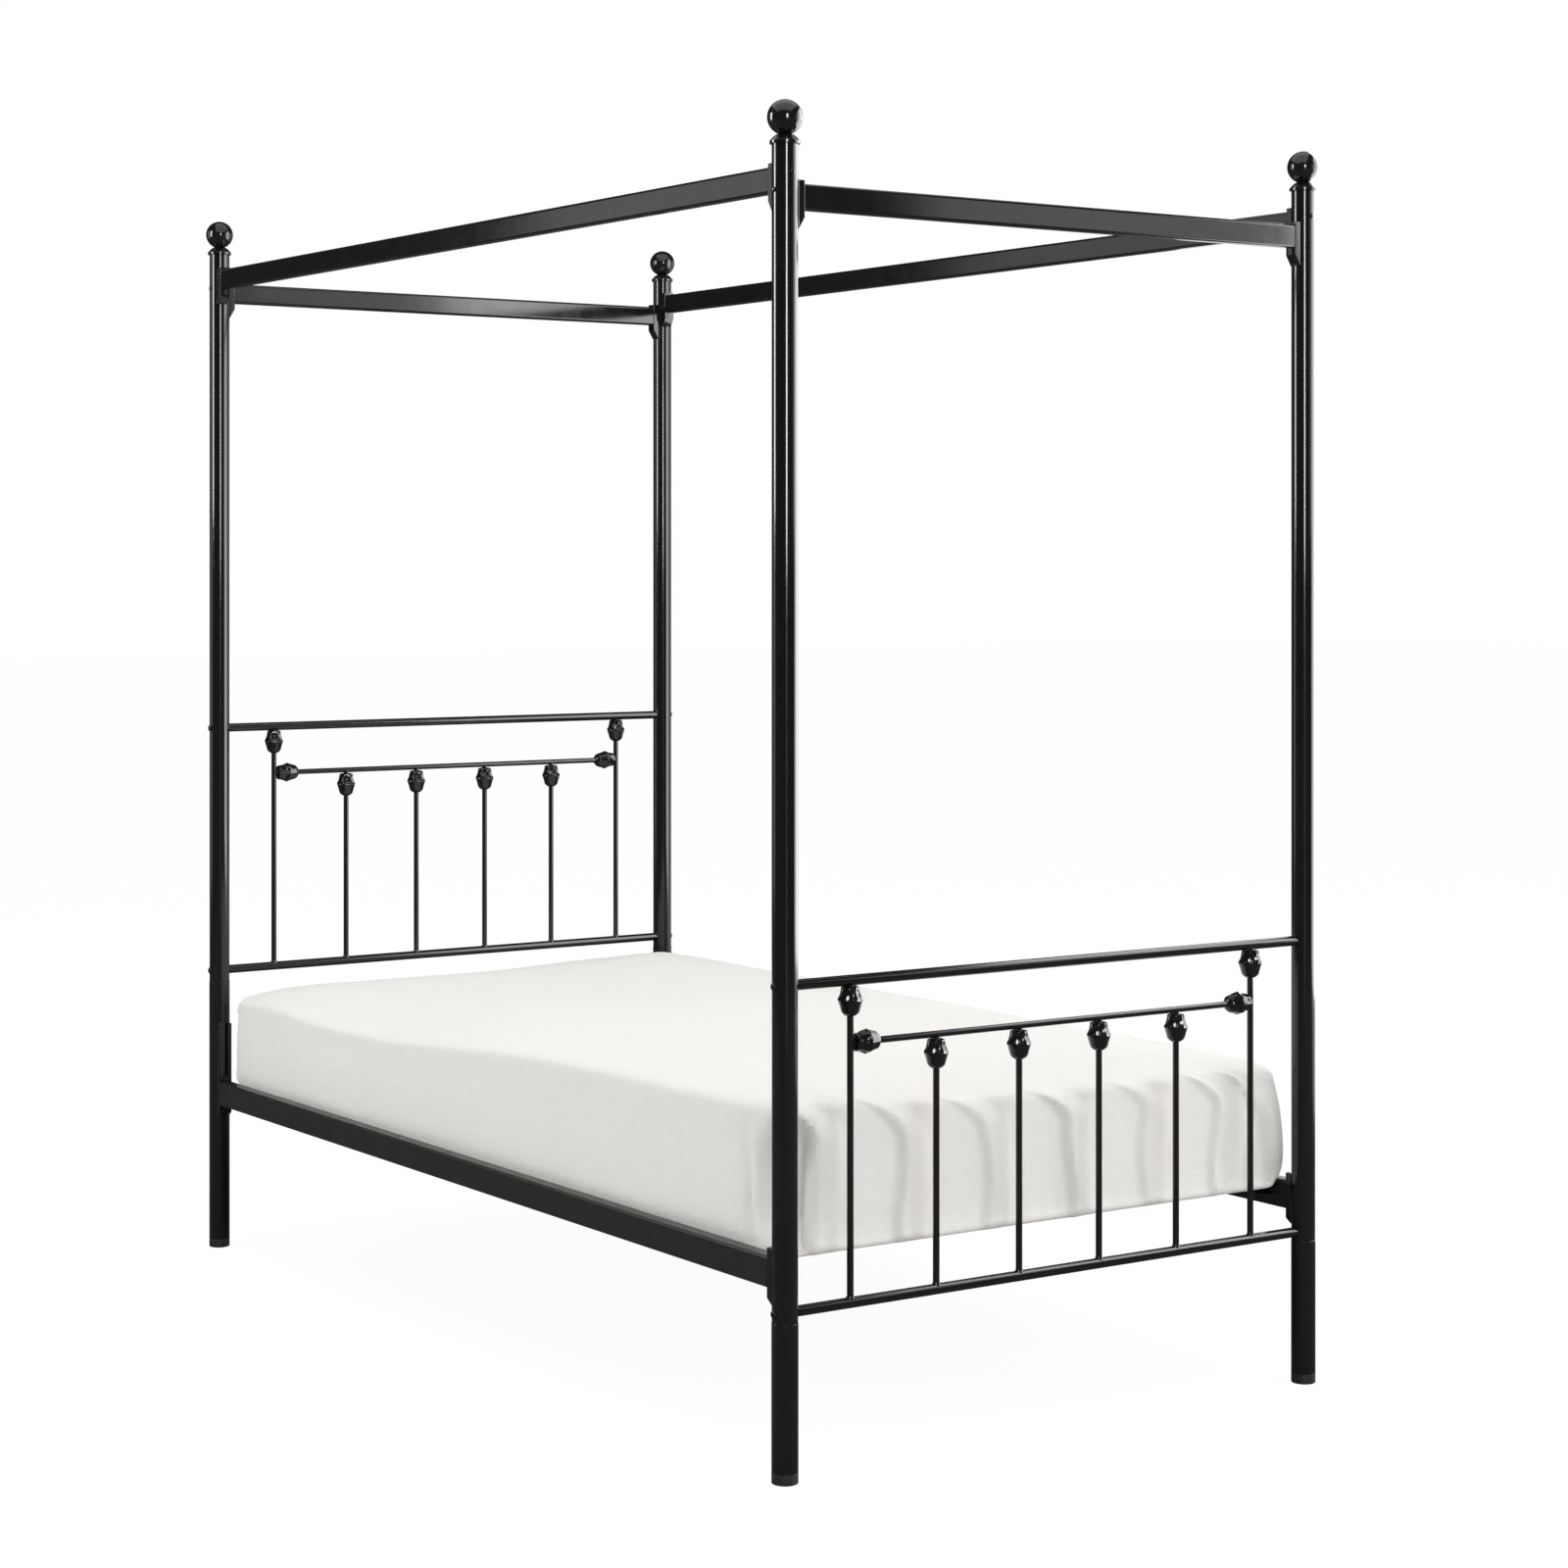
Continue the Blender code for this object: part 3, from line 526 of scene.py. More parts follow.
def turned_about(bm, angle, axis):
    bmesh.ops.rotate(bm, verts=bm.verts, matrix=Matrix.Rotation(angle, 3, axis))
    return bm


def piece(name, bm, finish, stands_for=(), place=(0, 0, 0), turn=None, body="frame",
          flat_faces=True):
    """One finished piece of the bed: its place, finish and the body it moves with.

    Where it has flat faces or long straight tubes, they keep their own normals up to their
    rounded edges.
    """
    obj = add_object(name, bm)
    obj.location = place
    if turn is not None:
        obj.rotation_euler = turn
    obj.data.materials.append(MATERIALS[finish])
    obj.data.shade_smooth()
    obj.data.set_sharp_from_angle(angle=SHARP_ANGLE)
    if flat_faces:
        weighted = obj.modifiers.new("Weighted normals", "WEIGHTED_NORMAL")
        weighted.keep_sharp = True
    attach(obj, body)
    if stands_for:
        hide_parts(*stands_for)
    return obj


def bridge(bm, low, high):
    """Faces between two loops of the same length. A loop of one repeated vertex is a pole."""
    for i, corner in enumerate(low):
        j = (i + 1) % len(low)
        bm.faces.new(dict.fromkeys((corner, low[j], high[j], high[i])))


def turned(rings, sides, closed=False, ribs=0):
    """A solid turned about Z from rings of (radius, height) or (rib radius, height, flute depth).

    A height may be a function of the offset y. A closed profile makes a tube; otherwise the
    rings start and end with radius 0. The flutes are hollows between sharp ribs.
    """
    bm = bmesh.new()
    loops = []
    for radius, height, *depth in rings:
        if radius == 0:
            level = height(0) if callable(height) else height
            loops.append([bm.verts.new((0, 0, level))] * sides)
            continue
        loop = []
        for i in range(sides):
            angle = 2 * pi * (i + 0.5) / sides
            r = radius
            if depth and ribs:
                r -= depth[0] * sin(pi * ((i * ribs / sides) % 1))
            y = r * sin(angle)
            level = height(y) if callable(height) else height
            loop.append(bm.verts.new((r * cos(angle), y, level)))
        loops.append(loop)
    for low, high in zip(loops, loops[1:]):
        bridge(bm, low, high)
    if closed:
        bridge(bm, loops[-1], loops[0])
    return bm


def arc(centre_r, centre_z, radius, start, stop, steps):
    """Points (r, z) on a circular arc, by angle from the +r direction, in degrees."""
    points = []
    for i in range(steps + 1):
        angle = radians(start + (stop - start) * i / steps)
        points.append((centre_r + radius * cos(angle), centre_z + radius * sin(angle)))
    return points


def coped(centre, radius, side, further=0.0):
    """Height of an end cut to fit round a crossing tube, as a function of the offset y."""
    reach = radius + GAP
    return lambda y: centre + side * (sqrt(reach**2 - y**2) + further)


def coped_cap(radius, height):
    """Rings from the axis out to the rim of a coped end."""
    return [(radius * part, height) for part in (0, 0.35, 0.7, 1)]


def rounded_rectangle(width, height, radius):
    """Corner points, anticlockwise, of a rectangle about the origin with round corners."""
    points = []
    for quarter, (sx, sy) in enumerate(((1, 1), (-1, 1), (-1, -1), (1, -1))):
        centre = (sx * (width / 2 - radius), sy * (height / 2 - radius))
        points += arc(*centre, radius, 90 * quarter, 90 * quarter + 90, CORNER_STEPS)
    return points


def rectangle(u_low, u_high, v_low, v_high):
    return [(u_low, v_low), (u_high, v_low), (u_high, v_high), (u_low, v_high)]


def prism(outline, low, high, axes="xyz"):
    """An outline extruded from low to high. axes says where its u, v and extrusion go."""
    bm = bmesh.new()
    order = [axes.index(letter) for letter in "xyz"]
    loops = []
    for level in (low, high):
        loop = []
        for u, v in outline:
            values = (u, v, level)
            loop.append(bm.verts.new([values[k] for k in order]))
        loops.append(loop)
    bridge(bm, *loops)
    for loop in loops:
        bm.faces.new(loop)
    return bm


def aimed(bm, direction):
    """The solid, built for a rail that leaves the post along +Y, turned towards direction."""
    angle = Vector((0, 1)).angle_signed(Vector(direction[:2]))
    return turned_about(bm, -angle, "Z")


# Posts, legs, glides and finials


def tube_end(radius, height, side):
    """Outer rings of a tube's rounded end, at its low (-1) or high (1) end, going up."""
    rings = arc(radius - TUBE_EDGE, height - side * TUBE_EDGE, TUBE_EDGE, 0, 90 * side,
                EDGE_STEPS)
    return rings if side > 0 else rings[::-1]


def make_post(end, side, place):
    node = f"post_{end}_{side}"
    low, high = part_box(node)[0].z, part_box(node)[1].z
    rings = tube_end(POST_RADIUS, low, -1)
    rings += [(POST_RADIUS, high)]
    rings += [(POST_RADIUS - TUBE_WALL, high), (POST_RADIUS - TUBE_WALL, low)]
    piece(f"upper_{node}", turned(rings, POST_SIDES, closed=True), "black_powder_coat",
          [node], place)


def make_leg(end, side, place):
    node = f"leg_{end}_{side}"
    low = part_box(node)[0].z
    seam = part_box(f"post_{end}_{side}")[0].z - GAP
    neck = POST_RADIUS - TUBE_WALL - GAP
    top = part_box(node)[1].z
    rings = [(LEG_RADIUS, low)]
    rings += tube_end(LEG_RADIUS, seam, 1)
    rings += [(neck, seam), (neck, top), (neck - TUBE_WALL, top), (neck - TUBE_WALL, seam)]
    rings += [(LEG_RADIUS - TUBE_WALL, seam - 2 * TUBE_WALL), (LEG_RADIUS - TUBE_WALL, low)]
    piece(f"lower_{node}", turned(rings, POST_SIDES, closed=True), "black_powder_coat",
          [node], place)


def make_glide(end, side, place):
    """A foot as wide as the leg, rounded under, with a plug that fits the tube."""
    node = f"foot_glide_{end}_{side}"
    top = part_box(node)[1].z
    plug = LEG_RADIUS - TUBE_WALL - GAP
    rings = [(0, 0)]
    rings += arc(LEG_RADIUS - GLIDE_EDGE, GLIDE_EDGE, GLIDE_EDGE, -90, 0, 2 * EDGE_STEPS)
    rings += arc(LEG_RADIUS - TUBE_EDGE, GLIDE_HEIGHT - TUBE_EDGE, TUBE_EDGE, 0, 90, EDGE_STEPS)
    rings += [(plug, GLIDE_HEIGHT), (plug, top), (0, top)]
    piece(f"moulded_{node}", turned(rings, POST_SIDES), "glide_plastic", [node], place)


def make_finial(end, side, place):
    """Plug, rim, dome and ball, turned in one piece."""
    node = f"finial_{end}_{side}"
    plug = POST_RADIUS - TUBE_WALL - GAP
    plug_low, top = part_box(node)[0].z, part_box(node)[1].z
    rim_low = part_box(f"post_{end}_{side}")[1].z + GAP
    rim_high = rim_low - GAP + RIM_HEIGHT
    ball = top - BALL_RADIUS
    neck_angle = asin(FINIAL_NECK_RADIUS / BALL_RADIUS) - pi / 2
    neck_height = ball + BALL_RADIUS * sin(neck_angle)
    rim_in = RIM_RADIUS - RIM_EDGE
    dome_rise = neck_height - rim_high
    rings = [(0, plug_low), (plug, plug_low), (plug, rim_low)]
    rings += arc(rim_in, rim_low + RIM_EDGE, RIM_EDGE, -90, 0, EDGE_STEPS)
    rings += arc(rim_in, rim_high - RIM_EDGE, RIM_EDGE, 0, 90, EDGE_STEPS)
    for i in range(1, DOME_STEPS):
        part = i / DOME_STEPS
        radius = rim_in + (FINIAL_NECK_RADIUS - rim_in) * part
        rings.append((radius, rim_high + dome_rise * sin(part * pi / 2)))
    rings += arc(0, ball, BALL_RADIUS, degrees(neck_angle), BALL_TOP_ANGLE, BALL_STEPS)
    rings.append((0, top))
    piece(f"ball_{node}", turned(rings, POST_SIDES), "black_casting", [node], place)


# Sockets, tongues and rivets


def tee_outline(width, slack, front):
    """T shape of a socket's cavity and slot, made smaller by slack on each side for a tongue."""
    head = width / 2 - SOCKET_SIDE_WALL - slack
    neck = SLOT_WIDTH / 2 - slack
    back = CAVITY_BACK + slack
    step = CAVITY_FRONT - slack
    return [(-head, back), (head, back), (head, step), (neck, step),
            (neck, front), (-neck, front), (-neck, step), (-head, step)]


def weld_bead(width, low, high):
    """A weld bead down both sides of a socket and under it, where it meets the post's tube."""
    out = sqrt(POST_RADIUS**2 - width**2 / 4)
    route = []
    for i in range(BEAD_STEPS + 1):
        route.append((width / 2, out, high + (low - high) * i / BEAD_STEPS))
    for i in range(1, BEAD_STEPS):
        x = width / 2 - width * i / BEAD_STEPS
        route.append((x, sqrt(POST_RADIUS**2 - x**2), low))
    for i in range(BEAD_STEPS + 1):
        route.append((-width / 2, out, low + (high - low) * i / BEAD_STEPS))
    points = [Vector(point) for point in route]
    bm = bmesh.new()
    loops = []
    unevenness, scale = BEAD_LUMPS
    for i, point in enumerate(points):
        along = points[min(i + 1, len(points) - 1)] - points[max(i - 1, 0)]
        outward = Vector((point.x, point.y, 0)).normalized()
        across = along.cross(outward).normalized()
        radius = BEAD_RADIUS * (1 + unevenness * noise.noise(point * scale))
        loop = []
        for k in range(BEAD_SIDES):
            angle = 2 * pi * k / BEAD_SIDES
            loop.append(bm.verts.new(point + radius * (cos(angle) * outward + sin(angle) * across)))
        loops.append(loop)
    for first, second in zip(loops, loops[1:]):
        bridge(bm, first, second)
    for loop in (loops[0], loops[-1]):
        bm.faces.new(loop)
    return bm


def socket(direction, width, low, shoulder, high, floor):
    """A rail socket with rounded edges: straight above its shoulder, tapered to the post below."""
    in_wall = POST_RADIUS - TUBE_WALL / 2
    outline = [(SOCKET_ROOT, low), (in_wall, low), (SOCKET_FACE, shoulder),
               (SOCKET_FACE, high), (SOCKET_ROOT, high)]
    block = rounded(prism(outline, -width / 2, width / 2, "yzx"), SOCKET_EDGE)
    cavity = tee_outline(width, 0, SOCKET_FACE + TONGUE_EMBED)
    solid = carved(block, prism(cavity, floor, high + SOCKET_FACE))
    return aimed(gathered(solid, weld_bead(width, low, high)), direction)


def tongue(direction, width, floor, high, post_at):
    """The tongue on a rail's end, with the post's axis at post_at."""
    outline = tee_outline(width, GAP, SOCKET_FACE + GAP + TONGUE_EMBED)
    return moved(aimed(prism(outline, floor + GAP, high), direction), post_at)


def button(radius, height, under, steps):
    """A button head standing on a post's surface: a short straight wall below a dome."""
    wall = POST_RADIUS + HEAD_WALL_SHARE * height
    top = POST_RADIUS + height
    rings = [(0, under), (radius, under), (radius, wall)]
    for i in range(1, steps):
        angle = pi / 2 * i / steps
        rings.append((radius * cos(angle), wall + (top - wall) * sin(angle)))
    return turned([*rings, (0, top)], ROD_SIDES)


def rivet(direction, height):
    """A domed rivet head on the far side of the post from its canopy socket."""
    head = button(RIVET_RADIUS, RIVET_HEIGHT, POST_RADIUS - TUBE_WALL / 2, RIVET_STEPS)
    bm = moved(turned_about(head, -pi / 2, "X"), (0, 0, height))
    return aimed(bm, [-part for part in direction])


def canopy_height(node):
    """Middle height of a canopy rail, above the low end of its tongues."""
    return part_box(node)[0].z + CANOPY_SOCKET_DROP - GAP


def make_sockets(end, side, place):
    """The canopy sockets and rivets of one post, and the bed side rail's socket."""
    sx, sy = SIDES[side], ENDS[end]
    for run, node, direction in (("side", f"canopy_rail_{side}", (0, -sy, 0)),
                                 ("end", f"canopy_rail_{end}", (-sx, 0, 0))):
        middle = canopy_height(node)
        shoulder = middle - CANOPY_SOCKET_DROP
        bm = socket(direction, CANOPY_SOCKET_WIDTH, shoulder - CANOPY_SOCKET_TAPER, shoulder,
                    middle + CANOPY_SOCKET_RISE, shoulder)
        piece(f"canopy_socket_{run}_{end}_{side}", bm, "black_powder_coat", place=place)
        piece(f"canopy_rivet_{run}_{end}_{side}", rivet(direction, middle + RIVET_OFFSET),
              "black_powder_coat", place=place)
    bm = socket((0, -sy, 0), SIDE_SOCKET_WIDTH, SIDE_SOCKET_LOW, SIDE_SOCKET_SHOULDER,
                SIDE_SOCKET_HIGH[end], SIDE_SOCKET_LOW + SIDE_SOCKET_FLOOR)
    piece(f"side_rail_socket_{end}_{side}", bm, "black_powder_coat", place=place)


def make_panel_bolt(end, side, level, place):
    """The head of a panel bolt, on the outside of the post, with its axis along X."""
    node = f"panel_bolt_{end}_{side}_{level}"
    solid = button(BOLT_HEAD_RADIUS, BOLT_HEAD_HEIGHT, coped(0, POST_RADIUS, 1),
                   BOLT_HEAD_STEPS)
    top = POST_RADIUS + BOLT_HEAD_HEIGHT
    hexagon = [(BOLT_RECESS_RADIUS * cos(pi * k / 3), BOLT_RECESS_RADIUS * sin(pi * k / 3))
               for k in range(6)]
    head = carved(solid, prism(hexagon, top - BOLT_RECESS_DEPTH, 2 * top))
    height = box_middle(node).z
    piece(f"head_{node}", head, "black_bolt", [node], (place[0], place[1], height),
          (0, SIDES[side] * pi / 2, 0))


def make_corner(end, side):
    place = (SIDES[side] * POST_X, ENDS[end] * POST_Y, 0)
    make_post(end, side, place)
    make_leg(end, side, place)
    make_glide(end, side, place)
    make_finial(end, side, place)
    make_sockets(end, side, place)
    for level in ("low", "high"):
        make_panel_bolt(end, side, level, place)


# Headboard and footboard


def knobbed_end(joint, crossing, side, clearance):
    """Rings of a rod's end, going up: a knob casting, and a cope round the tube at joint."""
    knob_at = joint - side * (crossing + clearance)
    rings = coped_cap(ROD_RADIUS, coped(joint, crossing, -side)) + [(ROD_RADIUS, knob_at)]
    rings += [(rib, knob_at - side * along, flute) for along, rib, flute in KNOB_SHAPE]
    rings.append((ROD_RADIUS, knob_at - side * KNOB_SHAPE[-1][0]))
    return rings[::-side]


def make_panel_rail(end, name):
    """Top or bottom rail of a panel, coped to fit the posts."""
    node = f"{end}board_{name}"
    rings = coped_cap(RAIL_RADIUS, coped(-POST_X, POST_RADIUS, 1))
    rings += coped_cap(RAIL_RADIUS, coped(POST_X, POST_RADIUS, -1))[::-1]
    piece(f"tube_{node}", turned(rings, ROD_SIDES), "black_powder_coat", [node],
          (0, ENDS[end] * POST_Y, box_middle(node).z), (0, pi / 2, 0))


def make_inner_rail(end, reach):
    """Rod between the two outer spindles, with a knob casting at each end."""
    node = f"{end}board_inner_rail"
    rings = []
    for side in (-1, 1):
        rings += knobbed_end(side * reach, ROD_RADIUS, side, KNOB_CLEARANCE)
    piece(f"rod_{node}", turned(rings, KNOB_SIDES, ribs=KNOB_RIBS), "black_casting", [node],
          (0, ENDS[end] * POST_Y, box_middle(node).z), (0, pi / 2, 0), flat_faces=False)


def make_spindle(end, number, low, high, top_radius):
    """Upright rod from the bottom rail to the rail above it, with a knob casting at its top."""
    node = f"{end}board_spindle_{number}"
    clearance = GAP if top_radius == RAIL_RADIUS else KNOB_CLEARANCE
    rings = coped_cap(ROD_RADIUS, coped(low, RAIL_RADIUS, 1))
    rings += [(ROD_RADIUS + extra, coped(low, RAIL_RADIUS, 1, along))
              for along, extra in WELD_FLARE]
    rings += knobbed_end(high, top_radius, 1, clearance)
    piece(f"rod_{node}", turned(rings, KNOB_SIDES, ribs=KNOB_RIBS), "black_casting", [node],
          (box_middle(node).x, ENDS[end] * POST_Y, 0), flat_faces=False)


def make_panel(end):
    low = box_middle(f"{end}board_bottom_rail").z
    top = box_middle(f"{end}board_top_rail").z
    inner = box_middle(f"{end}board_inner_rail").z
    spindles = sorted(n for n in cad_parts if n.startswith(f"{end}board_spindle_"))
    last = len(spindles)
    for name in ("bottom_rail", "top_rail"):
        make_panel_rail(end, name)
    make_inner_rail(end, box_middle(spindles[-1]).x)
    for number in range(1, last + 1):
        if number in (1, last):
            make_spindle(end, number, low, top, RAIL_RADIUS)
        else:
            make_spindle(end, number, low, inner, ROD_RADIUS)


# Canopy rails, bed side rails and slats


def make_canopy_rail(name, axis):
    node = f"canopy_rail_{name}"
    middle = box_middle(node)
    reach = POST_Y if axis == "y" else POST_X
    half = reach - SOCKET_FACE - GAP
    outline = rounded_rectangle(*CANOPY_SIZE, CANOPY_CORNER)
    parts = [prism(outline, -half, half, "xzy" if axis == "y" else "yzx")]
    for side in (-1, 1):
        inward = (0, -side, 0) if axis == "y" else (-side, 0, 0)
        parts.append(tongue(inward, CANOPY_SOCKET_WIDTH, -CANOPY_SOCKET_DROP,
                            CANOPY_SOCKET_RISE - GAP, [-part * reach for part in inward]))
    piece(f"tube_{node}", gathered(*parts), "black_powder_coat", [node],
          (middle.x, middle.y, canopy_height(node)))


def make_side_rail(side):
    """Bed side rail with drain holes, a tongue at each end and the slat ledge inside."""
    node = f"side_rail_{side}"
    sx = SIDES[side]
    width, depth = SIDE_RAIL_SIZE
    middle = RAIL_TOP - depth / 2
    half = POST_Y - SOCKET_FACE - GAP
    tube = prism(rounded_rectangle(width, depth, SIDE_RAIL_CORNER), -half, half, "xzy")
    holes = []
    for end in (-1, 1):
        low = -depth / 2 - DRAIN_DEPTH
        rings = [(0, low), (DRAIN_RADIUS, low), (DRAIN_RADIUS, low + 2 * DRAIN_DEPTH),
                 (0, low + 2 * DRAIN_DEPTH)]
        holes.append(moved(turned(rings, ROD_SIDES), (0, end * (half - DRAIN_INSET), 0)))
    parts = [carved(tube, *holes)]
    floor = SIDE_SOCKET_LOW + SIDE_SOCKET_FLOOR - middle
    for end in (-1, 1):
        parts.append(tongue((0, -end, 0), SIDE_SOCKET_WIDTH, floor, SIDE_TONGUE_HIGH - middle,
                            (0, end * POST_Y, 0)))
    ledge_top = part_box("slat_01")[0].z - GAP - middle
    ledge_x = sorted((-sx * (width / 2 - LEDGE_THICKNESS / 3), -sx * (width / 2 + LEDGE_WIDTH)))
    ledge = prism(rectangle(*ledge_x, ledge_top - LEDGE_THICKNESS, ledge_top),
                  LEDGE_INSET - half, half - LEDGE_INSET, "xzy")
    parts.append(rounded(ledge, LEDGE_THICKNESS / 5, 2))
    piece(f"tube_{node}", gathered(*parts), "side_rail_coat", [node], (sx * POST_X, 0, middle))


def make_slat(node):
    low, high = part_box(node)
    size = high - low
    outline = rounded_rectangle(size.y, size.z, SLAT_CORNER)
    bm = rounded(prism(outline, -size.x / 2, size.x / 2, "yzx"), TUBE_EDGE / 2, 2)
    piece(f"tube_{node}", bm, "slat_coat", [node], box_middle(node))


# Mattress and fitted sheet


def smooth(low, high, value):
    """0 below low, 1 above high, and a smooth step between."""
    part = np.clip((value - low) / (high - low), 0, 1)
    return part * part * (3 - 2 * part)


def stations(length, cell):
    """Where the lattice's lines cross an axis of the body: closer together near its ends."""
    inner = length - 2 * EDGE_CELLS[-1]
    cells = round(inner / cell)
    middle = [EDGE_CELLS[-1] + inner * i / cells for i in range(1, cells)]
    return np.array([*EDGE_CELLS, *middle, *(length - part for part in reversed(EDGE_CELLS))])


def surface_lattice(counts):
    """Points and quads of a box's surface on a whole-number grid with this many cells."""
    index = {}
    quads = []
    for axis, count in enumerate(counts):
        u, v = (k for k in range(3) if k != axis)
        for level in (0, count):
            for i in range(counts[u]):
                for j in range(counts[v]):
                    quad = []
                    for step_u, step_v in ((0, 0), (1, 0), (1, 1), (0, 1)):
                        point = [level] * 3
                        point[u] = i + step_u
                        point[v] = j + step_v
                        quad.append(index.setdefault(tuple(point), len(index)))
                    quads.append(quad)
    return np.array(list(index)), quads


def round_plan(x, y):
    """Points of the body's rectangle in plan, moved so that its corners are round."""
    inner_x, inner_y = BODY_HALF_WIDTH - BODY_CORNER, BODY_HALF_LENGTH - BODY_CORNER
    over_x, over_y = np.maximum(abs(x) - inner_x, 0), np.maximum(abs(y) - inner_y, 0)
    scale = np.maximum(over_x, over_y) / np.maximum(np.hypot(over_x, over_y), FINE)
    new_x = np.minimum(abs(x), inner_x) + over_x * scale
    new_y = np.minimum(abs(y), inner_y) + over_y * scale
    return np.sign(x) * new_x, np.sign(y) * new_y


def plan_inset(x, y):
    """How far points are inside the body's outline in plan, and which way is out."""
    from_x = abs(x) - (BODY_HALF_WIDTH - BODY_CORNER)
    from_y = abs(y) - (BODY_HALF_LENGTH - BODY_CORNER)
    over_x, over_y = np.maximum(from_x, 0), np.maximum(from_y, 0)
    length = np.hypot(over_x, over_y)
    inset = BODY_CORNER - length - np.minimum(np.maximum(from_x, from_y), 0)
    wide = from_x > from_y
    out_x = np.where(length > FINE, over_x / np.maximum(length, FINE), wide)
    out_y = np.where(length > FINE, over_y / np.maximum(length, FINE), ~wide)
    return inset, np.sign(x) * out_x, np.sign(y) * out_y


def round_edge(points, level, side, radius):
    """Rounds the body's edge at this level: its top (side 1) or its bottom (side -1)."""
    x, y, z = points.T
    inset, out_x, out_y = plan_inset(x, y)
    over = np.maximum(radius - inset, 0)
    rise = np.maximum(side * (z - level) + radius, 0)
    scale = np.where((over > 0) & (rise > 0),
                     np.maximum(over, rise) / np.maximum(np.hypot(over, rise), FINE), 1)
    shift = over * (scale - 1)
    z = np.where((over > 0) & (rise > 0), level + side * (rise * scale - radius), z)
    return np.stack([x + out_x * shift, y + out_y * shift, z], axis=1)


def body_surface():
    """Points and quads of the plain mattress body, before it is filled out."""
    size = (2 * BODY_HALF_WIDTH, 2 * BODY_HALF_LENGTH, BODY_HIGH - BODY_LOW)
    lines = [stations(*pair) for pair in zip(size, BODY_CELLS)]
    corners, quads = surface_lattice([len(line) - 1 for line in lines])
    points = np.stack([line[corners[:, k]] for k, line in enumerate(lines)], axis=1)
    points -= (BODY_HALF_WIDTH, BODY_HALF_LENGTH, -BODY_LOW)
    points[:, 0], points[:, 1] = round_plan(points[:, 0], points[:, 1])
    points = round_edge(points, BODY_HIGH, 1, BODY_TOP_EDGE)
    points = round_edge(points, BODY_LOW, -1, BODY_LOW_EDGE)
    return points, quads


def body_object(name, points, quads):
    mesh = bpy.data.meshes.new(name)
    mesh.from_pydata(points.tolist(), [], quads)
    bm = bmesh.new()
    bm.from_mesh(mesh)
    bpy.data.meshes.remove(mesh)
    return add_object(name, bm)


def values(items, name):
    """A table of the vectors that mesh items hold under this name."""
    flat = np.empty(len(items) * 3)
    items.foreach_get(name, flat)
    return flat.reshape(-1, 3)


def reshaped(mesh, points):
    """The mesh with its vertices at these points."""
    bm = bmesh.new()
    bm.from_mesh(mesh)
    for vertex, place in zip(bm.verts, points.tolist()):
        vertex.co = place
    return bm


def filled_out(points, quads):
    """The body swollen by its filling, with its underside held down by its weight."""
    obj = body_object("body_sim", points, quads)
    held = obj.vertex_groups.new(name="held")
    low = [i for i, point in enumerate(points) if point[2] < BODY_LOW + BODY_LOW_EDGE]
    held.add(low, 1.0, "REPLACE")
    cloth = obj.modifiers.new("Cloth", "CLOTH")
    settings = cloth.settings
    settings.quality = SIM_QUALITY
    settings.vertex_group_mass = "held"
    settings.use_pressure = True
    settings.uniform_pressure_force = SIM_PRESSURE
    settings.effector_weights.gravity = 0
    settings.tension_stiffness = SIM_TENSION
    settings.bending_stiffness = SIM_BENDING
    cloth.collision_settings.use_collision = False
    cloth.point_cache.frame_start = 1
    cloth.point_cache.frame_end = SIM_FRAMES
    scene = bpy.context.scene
    for number in range(1, SIM_FRAMES + 1):
        scene.frame_set(number)
    result = evaluated(obj)
    moves = values(result.vertices, "co") - points
    bpy.data.meshes.remove(result)
    drop(obj)
    scene.frame_set(1)
    length = np.linalg.norm(moves, axis=1, keepdims=True)
    return points + moves * np.minimum(1, SIM_CAP / np.maximum(length, FINE))


def subdivided(points, quads):
    """The surface after one subdivision: its mesh."""
    obj = body_object("body_fine", points, quads)
    obj.modifiers.new("Subdivision", "SUBSURF").levels = 1
    mesh = evaluated(obj)
    drop(obj)
    return mesh


